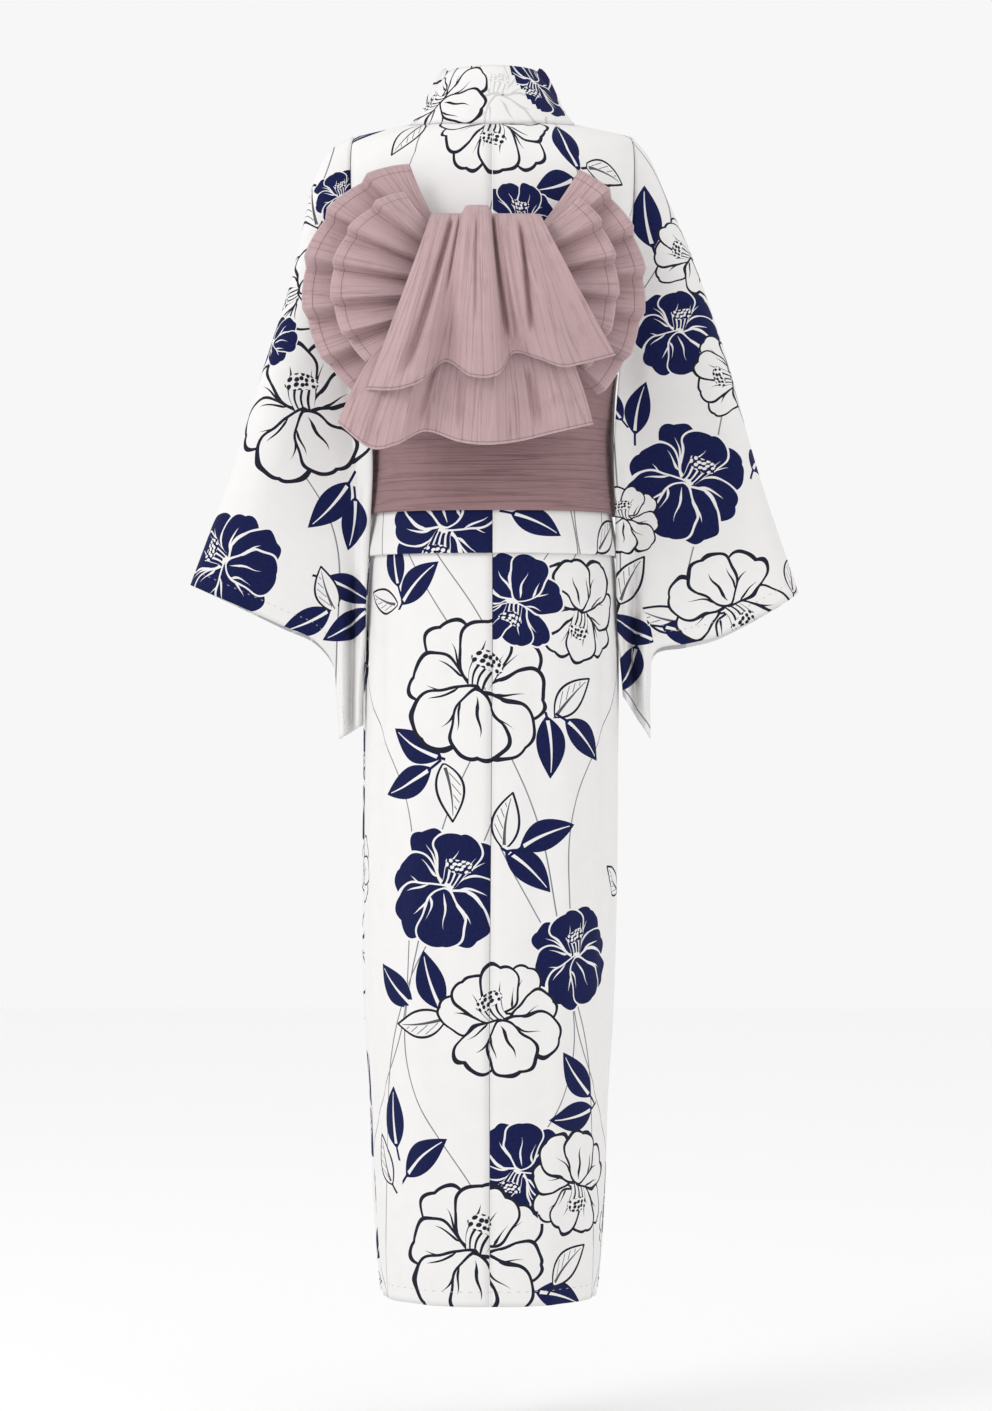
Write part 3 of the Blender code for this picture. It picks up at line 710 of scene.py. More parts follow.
# %% [markdown]
# ## The collar
# The collar is one long band, folded along its length and sewn round the neck from one front
# to the other. At the nape it stands up and leans away from the neck. Each point is a blend
# of the seam and the free edge, so the band keeps its width.

# %% The collar
COLLAR_ACROSS = 12
COLLAR_INSET = 0.0017
COLLAR_TOP_Z = 0.058
COLLAR_TOP_HALF_WIDTH = 0.048
COLLAR_TOP_BACK_Y = 0.045
COLLAR_TOP_SHIFT = 0.004
COLLAR_TOP_DROP = 0.002
COLLAR_STEPS = 90
NAPE_SHARE = 0.30


def collar_point(share, along):
    """A point of the band: along runs from the right front, -1, past the nape to the left, 1."""
    far = abs(along)
    over = along > 0
    if far < NAPE_SHARE:
        turn = NECK_TURN * far / NAPE_SHARE
        angle, rise = neckline(turn)
        seam = bodice_point(angle, rise, 0.0)
        if turn == 0:
            seam.x = 0.0
        seam.x -= COLLAR_INSET * sin(radians(turn))
        seam.y -= COLLAR_INSET * cos(radians(turn))
        seam.z += EDGE_GAP
        free = Vector((COLLAR_TOP_HALF_WIDTH * sin(radians(turn)),
                       COLLAR_TOP_BACK_Y * cos(radians(turn)) - COLLAR_TOP_SHIFT,
                       COLLAR_TOP_Z - COLLAR_TOP_DROP * turn / 90))
        point = seam.lerp(free, share)
    else:
        rise = blend(1.0, 0.0, (far - NAPE_SHARE) / (1 - NAPE_SHARE))
        seam_x = COLLAR.size("seam_x", rise) - COLLAR_INSET * ease((rise - 0.7) / 0.3)
        x = blend(seam_x, COLLAR.size("free_x", rise), share)
        lift = (FRONT_LIFT if over else 0.0) * lift_left(rise)
        point = bodice_point(front_angle(x, rise), rise, lift)
        point.z += COLLAR.size("stand_off", rise) * ease(share)
    return Vector((point.x * (1 if along >= 0 else -1), point.y, point.z))


points = lay(lambda share, along: collar_point(share, 2 * along - 1),
             COLLAR_ACROSS, 2 * COLLAR_STEPS)
flats = flat_of(points)
nape = flats[COLLAR_STEPS][0][1]
flats = [[(u, v - nape) for u, v in line] for line in flats]
piece = cloth("collar", points, flats, hems_along(flats, True, True), FOLDED_COLLAR,
              lambda p: Vector((p.x, p.y, 0.02)))
printed["collar"] = (piece, points, flats, ["collar"] * len(points))
print("collar band", round(flats[-1][0][1] - flats[0][0][1], 3), "m long")


# %% [markdown]
# ## The sleeves
# A sleeve is one rectangle, folded at the top and open at the wrist. Below the armhole its
# inner edge hangs free, which leaves the long opening that is typical of this cut. A patch
# between four curved edges gives the sheet: the armhole and free edge, the top fold, the
# wrist and the bottom. The tables hold the top fold and the wrist, as they are seen.

# %% The sleeves' edges
SLEEVE_TOP = {
    "left": Table(
        "reach x z",
        (0.00, 0.151, -0.013),
        (0.08, 0.178, -0.030),
        (0.14, 0.193, -0.060),
        (0.22, 0.203, -0.102),
        (0.36, 0.220, -0.176),
        (0.52, 0.245, -0.255),
        (0.77, 0.284, -0.381),
        (1.00, 0.326, -0.497),
    ),
    "right": Table(
        "reach x z",
        (0.00, 0.151, -0.013),
        (0.08, 0.171, -0.038),
        (0.14, 0.187, -0.075),
        (0.26, 0.213, -0.136),
        (0.40, 0.236, -0.200),
        (0.52, 0.252, -0.250),
        (0.77, 0.288, -0.379),
        (1.00, 0.330, -0.505),
    ),
}
SLEEVE_CUFF = {
    "left": Table(
        "drop x z",
        (0.00, 0.326, -0.497),
        (0.22, 0.259, -0.526),
        (0.34, 0.226, -0.541),
        (0.46, 0.194, -0.555),
        (0.58, 0.173, -0.579),
        (0.75, 0.168, -0.612),
        (1.00, 0.165, -0.663),
    ),
    "right": Table(
        "drop x z",
        (0.00, 0.330, -0.505),
        (0.14, 0.308, -0.520),
        (0.32, 0.247, -0.551),
        (0.44, 0.212, -0.560),
        (0.58, 0.176, -0.568),
        (0.75, 0.170, -0.605),
        (1.00, 0.170, -0.662),
    ),
}
SLEEVE_INNER_BOTTOM = {"left": (0.1400, -0.648), "right": (0.1420, -0.617)}
ARMHOLE_RISE = 0.36
ARMHOLE_DROP = 0.37
ARMHOLE_GAP = 0.0012
SLEEVE_HALF_DEPTH = 0.042
CUFF_HALF_DEPTH = 0.036
FOLD_SHARE = 0.18
BOTTOM_NARROWING = 0.86
BOTTOM_HALF_DEPTH = 0.006
CUFF_FRONT_DROP = 0.004
SLEEVE_WAVE = 0.010
SLEEVE_WAVES = 1.5
WAVE_START = 0.45
WAVE_FADE = 0.4
ROUND_PAST_ARMHOLE = 0.2
ROW_SPREAD = 1.3
EDGE_LAP = 0.0115
EDGE_LAP_OUT = 0.020
EDGE_LAP_Z = -0.375
EDGE_LAP_HEIGHT = 0.155
LOW_LAP = {"left": 0.0040, "right": 0.0085}
LOW_LAP_Z = -0.520
LOW_LAP_HEIGHT = 0.125


def sleeve_edge(side, drop):
    """The inner edge as x, back y, front y and z: the armhole, then the free edge."""
    rise = blend(1.0, ARMHOLE_RISE, min(drop / ARMHOLE_DROP, 1.0))
    x = BODICE.size("side_x", rise) + ARMHOLE_GAP
    back_y = BODICE.size("back_side_y", rise)
    front_y = BODICE.size("front_side_y", rise)
    z = BODICE.size("side_z", rise)
    if drop > ARMHOLE_DROP:
        share = (drop - ARMHOLE_DROP) / (1 - ARMHOLE_DROP)
        bottom_x, bottom_z = SLEEVE_INNER_BOTTOM[side]
        x = blend(x, bottom_x, ease(share * 2))
        z = blend(z, bottom_z, share)
        back_y = blend(back_y, BOTTOM_HALF_DEPTH, ease(share))
        front_y = blend(front_y, -BOTTOM_HALF_DEPTH, ease(share))
    return x, back_y, front_y, z


print("armhole ends at", round(sleeve_edge("left", ARMHOLE_DROP)[3], 3), "m")

# %% [markdown]
# ## The sleeves' walls
# The hanging part is soft, so it takes slanting folds from the wrist to the corner. The back
# wall's free edge laps a little over the belt and the skirt beside it, as it does where cloth
# is drawn in by a belt.

# %% Points of a sleeve
def sleeve_point(side, reach, around):
    """Reach runs from armhole to wrist, around from the back's lower edge to the front's."""
    drop = abs(around) ** ROW_SPREAD
    behind = around < 0
    edge_x, back_y, front_y, edge_z = sleeve_edge(side, drop)
    if behind:
        lap = bump(edge_z, EDGE_LAP_Z, EDGE_LAP_HEIGHT)
        low_lap = bump(edge_z, LOW_LAP_Z, LOW_LAP_HEIGHT)
        edge_x -= EDGE_LAP * lap + LOW_LAP[side] * low_lap
        back_y += EDGE_LAP_OUT * max(lap, low_lap)
    place = []
    for axis, edge, corner in zip("xz", (edge_x, edge_z), SLEEVE_INNER_BOTTOM[side]):
        fold, wrist = SLEEVE_TOP[side], SLEEVE_CUFF[side]
        bottom = blend(corner, wrist.size(axis, 1.0), reach)
        straight_fold = blend(fold.size(axis, 0.0), fold.size(axis, 1.0), reach)
        place.append(blend(fold.size(axis, reach), bottom, drop)
                     + blend(edge, wrist.size(axis, drop), reach)
                     - blend(straight_fold, bottom, drop))
    x, z = place
    half = blend(SLEEVE_HALF_DEPTH, CUFF_HALF_DEPTH, reach)
    rounded = sqrt(1 - (1 - min(drop / FOLD_SHARE, 1.0)) ** 2)
    y = half * rounded * (1 - BOTTOM_NARROWING * ease(drop)) * (1 if behind else -1)
    y = blend(back_y if behind else front_y, y, ease(reach / ROUND_PAST_ARMHOLE))
    y += SLEEVE_WAVE * sin(2 * pi * SLEEVE_WAVES * reach) * ease((drop - WAVE_START) / WAVE_FADE)
    if not behind:
        z -= CUFF_FRONT_DROP * reach * sin(pi * drop)
    return Vector((x, y, z))


print("wrist's top", [round(c, 3) for c in sleeve_point("left", 1.0, 0.0)])

# %% [markdown]
# ## The sleeves' print
# The print has to look right from behind, where a sleeve is seen nearly flat. So most of each
# wall takes its place on the cloth from how it is seen. Only near the top fold, where the wall
# turns away, is it measured along the cloth. The front wall starts two repeats further along
# the bolt, so that the two sides of a sleeve don't show the same motifs.

# %% Make the sleeves
BOLT_REPEAT = 0.61
SLEEVE_FLAT_SHARE = 0.66
LEAST_SEEN = 0.3
SLEEVE_ACROSS, SLEEVE_ALONG = 60, 130


def unfolded(points, order, shift):
    """Places on the flat cloth for one wall of a sleeve. They are as seen from behind, and
    near the fold, where the wall turns away, they are measured along the cloth."""
    places = [[(0.0, 0.0)] * len(row) for row in points]
    heading = [Vector((0.0, 1.0))] * len(points[0])
    for number, j in enumerate(order):
        before = order[number - 1]
        for i, point in enumerate(points[j]):
            if number < SLEEVE_FLAT_SHARE * len(order):
                places[j][i] = (-point.x, point.z + shift)
                continue
            earlier = points[before][i]
            step = Vector((earlier.x - point.x, point.z - earlier.z))
            length = (point - earlier).length
            if step.length > LEAST_SEEN * length:
                heading[i] = step.normalized()
            u, v = places[before][i]
            places[j][i] = (u + heading[i].x * length, v + heading[i].y * length)
    return places


prints_of_sleeves = {}
for side, sign in (("left", 1), ("right", -1)):
    def place(across, along):
        point = sleeve_point(side, across, 2 * along - 1)
        return Vector((point.x * sign, point.y, point.z))

    points = lay(place, SLEEVE_ACROSS, SLEEVE_ALONG)
    flats = flat_of(points)
    name = "sleeve_" + side
    centre = sum((p for row in points for p in row), Vector()) / (len(points) * len(points[0]))
    half = SLEEVE_ALONG // 2
    behind = unfolded(points, range(half + 1), 0.0)
    before = unfolded(points, range(SLEEVE_ALONG, half - 1, -1), 2 * BOLT_REPEAT)
    prints = behind[:half + 1] + before[half + 1:]
    hems = [[(line[-1][0] - u, v) for u, v in line] for line in flats]
    piece = cloth(name, points, behind, hems, COTTON,
                  lambda p: Vector((0, p.y - centre.y, p.z - centre.z - 0.02)),
                  beyond=(half, before))
    parts = ["back" if j <= half else "front" for j in range(SLEEVE_ALONG + 1)]
    printed[name] = (piece, points, flats, parts)
    prints_of_sleeves[name] = prints
    print(name, "cut", round(flats[-1][0][1] - flats[0][0][1], 3), "m over the fold")


# %% [markdown]
# ## The obi
# The belt is one wide, soft strip. It is wrapped round the waist over the tuck, and its ends
# are tied in a bow whose two loops are spread into fans of sharp pleats. The band is the worn
# surface once more, a few millimetres out. Its grid starts at a side, where the seam of its
# flat cloth is hidden.

# %% The band
OBI_START = 250.0
OBI_ROUND = 200
OBI_ALONG = 40
LEFT_RISE_START, LEFT_RISE_TURN = 88.0, 10.0
RIGHT_RISE_END, RIGHT_RISE_TURN = 273.0, 12.0


def obi_lift(angle):
    """The band rises over the left front, and over that front's free edge on the right side."""
    turn = angle % 360.0
    if turn <= 180.0:
        return FRONT_LIFT * ease((turn - LEFT_RISE_START) / LEFT_RISE_TURN)
    return FRONT_LIFT * ease((RIGHT_RISE_END - turn) / RIGHT_RISE_TURN)


def obi_point(across, along):
    angle = 360.0 * across + OBI_START
    z = blend(OBI_BOTTOM_Z, OBI_TOP_Z, along)
    off = OBI_CLEARANCE + obi_lift(angle)
    if z > WAIST_Z:
        rise = (z - WAIST_Z) / (BODICE.rows[1][3] - WAIST_Z) * BODICE.rows[1][0]
        point = bodice_point(angle, rise, off)
    else:
        point = skirt_point(angle, z, 2 * LAYER + off)
    point.z = z
    return point


def tie(name, points, outward, closed=False):
    """A piece of the obi, with its crinkles evenly spread and a hem at its free end."""
    flats = flat_of(points)
    width = sum(line[-1][0] for line in flats) / len(flats)
    last = len(points[0]) - 1
    even = [[(width * i / last, v) for i, (_, v) in enumerate(line)] for line in flats]
    piece = cloth(name, points, even, hems_along(even, False, True), OBI_CLOTH,
                  outward, closed)
    tied[name] = (piece, flats)
    print(name, "corners", len(piece.data.vertices))


tied = {}
tie("obi_band", lay(obi_point, OBI_ROUND, OBI_ALONG), from_axis, closed=True)

# %% [markdown]
# ## The loop of the bow
# A short wrap holds the bow's middle on the band. The upper tail hides most of it, so a plain
# squarish oval is enough.

# %% The bow's loop
BOW_X = 0.007
BOW_Z = -0.190
BOW_BACK_Y = 0.1132
BOW_LOOP_HALF_HEIGHT = 0.088
BOW_LOOP_DROP = 0.015
BOW_LOOP_SQUARENESS = 5.0
BOW_LOOP_HALF_DEPTH = 0.023
BOW_LOOP_HALF_WIDTH = 0.036
BOW_LOOP_ROUND = 120
BOW_LOOP_ACROSS = 20


def bow_loop_point(across, along):
    """The wrap round the bow's middle, an upright oval loop that the fans pass through."""
    turn = 2 * pi * across
    power = 2 / BOW_LOOP_SQUARENESS
    y = BOW_BACK_Y + BOW_LOOP_HALF_DEPTH * (1 + signed_power(cos(turn), power))
    z = BOW_Z - BOW_LOOP_DROP + BOW_LOOP_HALF_HEIGHT * signed_power(sin(turn), power)
    return Vector((BOW_X + BOW_LOOP_HALF_WIDTH * (1 - 2 * along), y, z))


tie("bow_loop", lay(bow_loop_point, BOW_LOOP_ROUND, BOW_LOOP_ACROSS),
    lambda p: Vector((0, p.y - BOW_BACK_Y - BOW_LOOP_HALF_DEPTH, p.z - BOW_Z)), closed=True)

# %% [markdown]
# ## The fans
# Each side of the bow is two layers of the belt, folded into knife pleats and spread from the
# loop. One function of the share across the spread gives the pleats, and it works on the
# radius too, because a fold that stands out reaches a little further.

# %% The fans
FANS = Table(
    "fan side x radius low high pleats depth root_y edge_y",
    (0, 1, 0.064, 0.135, -60, 80, 6, 0.010, 0.1228, 0.128),
    (1, 1, 0.065, 0.103, -54, 75, 6, 0.008, 0.1486, 0.1540),
    (2, -1, 0.007, 0.153, -47, 56, 6, 0.010, 0.1228, 0.128),
    (3, -1, 0.000, 0.131, -42, 46, 5, 0.008, 0.1486, 0.1540),
)
FAN_NAMES = ("wing_left_outer", "wing_left_inner", "wing_right_outer", "wing_right_inner")
FAN_ROOT_X = 0.012
FAN_ROOT_HALF_HEIGHT = 0.036
FAN_EXIT_X = 0.046
FAN_BULGE_START = 0.40
FAN_ROOT_DEPTH = 0.0075
FAN_BULGE = 0.010
FAN_STEP = 0.012
PLEAT_FACE = 5 / 6
PLEAT_SEGMENTS = 24
FAN_ALONG = 30


def pleat(phase):
    """A knife pleat from -1 to 1: a long face that rises, then a short return."""
    part = phase % 1.0
    if part < PLEAT_FACE:
        return blend(-1.0, 1.0, part / PLEAT_FACE)
    return blend(1.0, -1.0, (part - PLEAT_FACE) / (1.0 - PLEAT_FACE))


def wing_point(fan, across, along):
    """A pleated fan: along runs from its gathered root to its edge, across down its spread."""

    def of(column):
        return FANS.size(column, fan)

    turn = radians(blend(of("high"), of("low"), across))
    fold = pleat(of("pleats") * across)
    radius = of("radius") * (1 + FAN_STEP * fold)
    level = BOW_Z + FAN_ROOT_HALF_HEIGHT * (1 - 2 * across)
    root = Vector((of("side") * FAN_ROOT_X + BOW_X, of("root_y"), level))
    mouth = Vector((of("side") * FAN_EXIT_X + BOW_X, of("root_y"), level))
    edge = Vector((of("side") * (of("x") + radius * cos(turn)), of("edge_y"),
                   BOW_Z + radius * sin(turn)))
    point = root.lerp(mouth, along).lerp(mouth.lerp(edge, along), along)
    point.y += blend(FAN_ROOT_DEPTH, of("depth"), along * along) * fold
    past_mouth = max(along - FAN_BULGE_START, 0.0) / (1 - FAN_BULGE_START)
    point.y += FAN_BULGE * sin(pi * past_mouth)
    return point


for fan, name in enumerate(FAN_NAMES):
    segments = PLEAT_SEGMENTS * round(FANS.size("pleats", fan))
    tie(name, lay(lambda across, along: wing_point(fan, across, along), segments, FAN_ALONG),
        backward)

# %% [markdown]
# ## The tails
# Two ruffled ends fall from the middle of the bow. Their waved hems are tables of what is
# seen from behind, with how far each place stands out. Between gather and hem the cloth
# bulges, and a table of folds gives it the creases of a knot drawn tight.

# %% The hems and folds of the tails
TAIL_UPPER_HEM = Table(
    "across x z y",
    (0.00, 0.131, -0.300, 0.168),
    (0.12, 0.100, -0.302, 0.190),
    (0.21, 0.074, -0.294, 0.196),
    (0.31, 0.049, -0.272, 0.180),
    (0.41, 0.022, -0.289, 0.200),
    (0.52, -0.006, -0.287, 0.200),
    (0.60, -0.021, -0.264, 0.182),
    (0.72, -0.047, -0.270, 0.190),
    (0.82, -0.072, -0.279, 0.196),
    (0.91, -0.094, -0.274, 0.178),
    (1.00, -0.128, -0.264, 0.166),
)
TAIL_LOWER_HEM = Table(
    "across x z y",
    (0.00, 0.161, -0.333, 0.150),
    (0.13, 0.127, -0.360, 0.166),
    (0.25, 0.100, -0.357, 0.172),
    (0.37, 0.070, -0.342, 0.156),
    (0.50, 0.034, -0.354, 0.172),
    (0.62, 0.004, -0.357, 0.174),
    (0.75, -0.030, -0.352, 0.158),
    (0.88, -0.066, -0.344, 0.168),
    (1.00, -0.105, -0.334, 0.150),
)
TAIL_REST = 0.0018
TAIL_TOP_HALF_WIDTH = 0.030
TAIL_GATHER_HALF_WIDTH = 0.057
TAIL_OVER = 0.25
TAIL_BACK_SETBACK = 0.006
TAIL_FRONT_SETBACK = 0.012
TAIL_FLARE = 1.15
LOWER_TAIL_FLARE = 0.35
BULGE_RISE = 0.7
UPPER_BULGE = 0.039
LOWER_BULGE = 0.018
UPPER_HEM_OUT = 0.006
LOWER_TAIL_TOP_Z = -0.225
TOP_FOLD_START = 0.27
TOP_FOLD_END = 0.57
TOP_FOLD_SIDE = 0.06
TOP_FOLD_HEIGHT = 0.008
TAIL_FOLD_IN = 0.18
TAIL_FOLD_OUT = 0.22
TAIL_FOLD_GATHER = 0.08
TAIL_ACROSS = {"tail_upper": 150, "tail_lower": 130}
TAIL_ALONG = 40
LOOP_FRONT_Y = BOW_BACK_Y + 2 * BOW_LOOP_HALF_DEPTH
LOOP_TOP_Z = BOW_Z - BOW_LOOP_DROP + BOW_LOOP_HALF_HEIGHT


UPPER_TAIL_FOLDS = Table(
    "fold across lean width depth start end",
    (0, 0.07, 0.02, 0.040, 0.0030, 0.10, 1.10),
    (1, 0.20, -0.07, 0.040, -0.0130, -0.20, 0.98),
    (2, 0.27, -0.03, 0.020, -0.0060, -0.20, 0.60),
    (3, 0.34, 0.00, 0.030, 0.0040, 0.05, 0.90),
    (4, 0.42, 0.01, 0.018, -0.0035, 0.00, 0.80),
    (5, 0.56, 0.02, 0.028, -0.0150, -0.20, 0.95),
    (6, 0.64, 0.01, 0.032, 0.0050, -0.10, 0.95),
    (7, 0.80, -0.10, 0.030, -0.0110, 0.00, 0.90),
    (8, 0.90, -0.02, 0.045, 0.0030, 0.20, 1.10),
)
LOWER_TAIL_FOLDS = Table(
    "fold across lean width depth start end",
    (0, 0.12, 0.00, 0.030, -0.0050, 0.30, 1.10),
    (1, 0.26, 0.02, 0.028, 0.0035, 0.30, 1.05),
    (2, 0.36, -0.02, 0.024, -0.0070, 0.35, 0.95),
    (3, 0.47, 0.03, 0.026, -0.0060, 0.40, 1.00),
    (4, 0.63, 0.02, 0.034, 0.0030, 0.30, 1.10),
    (5, 0.79, 0.03, 0.022, -0.0070, 0.35, 0.98),
    (6, 0.90, 0.01, 0.030, 0.0025, 0.30, 1.10),
)
print("tail folds:", len(UPPER_TAIL_FOLDS.rows), "above,", len(LOWER_TAIL_FOLDS.rows), "below")


# %% [markdown]
# ## Make the tails
# The upper tail comes over the loop's top and down its front, so its rows run level first,
# then round the edge, then down in a flare. The lower one starts on the loop's front.

# %% Make the two tails
def top_fold(across):
    """The raised fold in the middle of the upper tail, where its top is gathered."""
    return (ease((across - TOP_FOLD_START) / TOP_FOLD_SIDE)
            * ease((TOP_FOLD_END - across) / TOP_FOLD_SIDE) * TOP_FOLD_HEIGHT)


def tail_fold(folds, across, along):
    """How far a tail's folds push its face out, each one fading in and out along the tail."""
    total = 0.0
    for _, middle, lean, width, depth, start, end in folds.rows:
        fade = ease((along - start) / TAIL_FOLD_IN) * ease((end - along) / TAIL_FOLD_OUT)
        total += depth * fade * bump(across, middle + lean * along, width)
    return total


def tail_upper_point(across, along):
    """The upper tail: over the loop's top, over the bow's middle, and down in a flare."""
    gather_x = BOW_X + TAIL_GATHER_HALF_WIDTH * (1 - 2 * across)
    top_x = BOW_X + TAIL_TOP_HALF_WIDTH * (1 - 2 * across)
    rest_y = LOOP_FRONT_Y + TAIL_REST
    edge_y = LOOP_FRONT_Y - TAIL_FRONT_SETBACK
    top_z = LOOP_TOP_Z + TAIL_REST
    raised = top_fold(across)
    if along <= TAIL_OVER / 2:
        part = along / (TAIL_OVER / 2)
        y = blend(BOW_BACK_Y + TAIL_BACK_SETBACK, edge_y, part)
        return Vector((top_x, y, top_z + raised * part))
    if along < TAIL_OVER:
        turn = (along / TAIL_OVER * 2 - 1) * pi / 2
        return Vector((blend(top_x, gather_x, turn / (pi / 2)),
                       blend(edge_y, rest_y + raised, sin(turn)),
                       top_z + raised - TAIL_REST * (1 - cos(turn))))
    part = (along - TAIL_OVER) / (1 - TAIL_OVER)
    x = blend(gather_x, TAIL_UPPER_HEM.size("x", across), part ** TAIL_FLARE)
    y = blend(rest_y, TAIL_UPPER_HEM.size("y", across) + UPPER_HEM_OUT, part)
    y += UPPER_BULGE * sin(pi * part ** BULGE_RISE)
    fold = tail_fold(UPPER_TAIL_FOLDS, across, part)
    y += raised * (1 - part) + fold * ease(part / TAIL_FOLD_GATHER)
    z = blend(top_z - TAIL_REST + raised, TAIL_UPPER_HEM.size("z", across), part)
    return Vector((x, y, z))


def tail_lower_point(across, along):
    """The lower tail: it starts behind the upper one, on the loop's front."""
    x = blend(BOW_X + TAIL_TOP_HALF_WIDTH * (1 - 2 * across),
              TAIL_LOWER_HEM.size("x", across), along ** LOWER_TAIL_FLARE)
    y = blend(LOOP_FRONT_Y + TAIL_REST, TAIL_LOWER_HEM.size("y", across), along)
    y += LOWER_BULGE * sin(pi * along ** BULGE_RISE)
    y += tail_fold(LOWER_TAIL_FOLDS, across, along)
    z = blend(LOWER_TAIL_TOP_Z, TAIL_LOWER_HEM.size("z", across), along)
    return Vector((x, y, z))


for name, place in (("tail_upper", tail_upper_point), ("tail_lower", tail_lower_point)):
    tie(name, lay(place, TAIL_ACROSS[name], TAIL_ALONG), backward)


# %% [markdown]
# ## The cut of each piece
# Each sheet states the flat cloth that it needs, as width and length in metres. They are
# measured on the grids, before the walls get their thickness.

# %% State the flat cloth of each sheet
def state_cut(name, piece, flats):
    us = [u for line in flats for u, _ in line]
    vs = [v for line in flats for _, v in line]
    area = sum(face.area for face in piece.data.polygons)
    size = (max(us) - min(us), max(vs) - min(vs))
    print(name, "flat", [round(s, 3) for s in size], "area", round(area, 4))


for name, (piece, _, flats, _) in printed.items():
    state_cut(name, piece, flats)
prints_of = {name: (piece, points, prints_of_sleeves.get(name, flats), parts)
             for name, (piece, points, flats, parts) in printed.items()}
for name, (piece, flats) in tied.items():
    held = "stretched" if name in ("obi_band", "bow_loop") else "gathered"
    state_cut(name, piece, flats)


# %% [markdown]
# ## Where the print lies
# The print is an ordinary summer one: camellias and leaves in navy or in outline, on off-white
# cotton, joined by thin stems. Each motif has a place on the picture of the back. It is found
# on the cloth by looking for the point of the panel that the camera sees there, and the faces
# round it then carry the motif's own coordinates in a UV map. Motifs that touch go into
# different maps, so each face knows at most two flowers and two leaves.

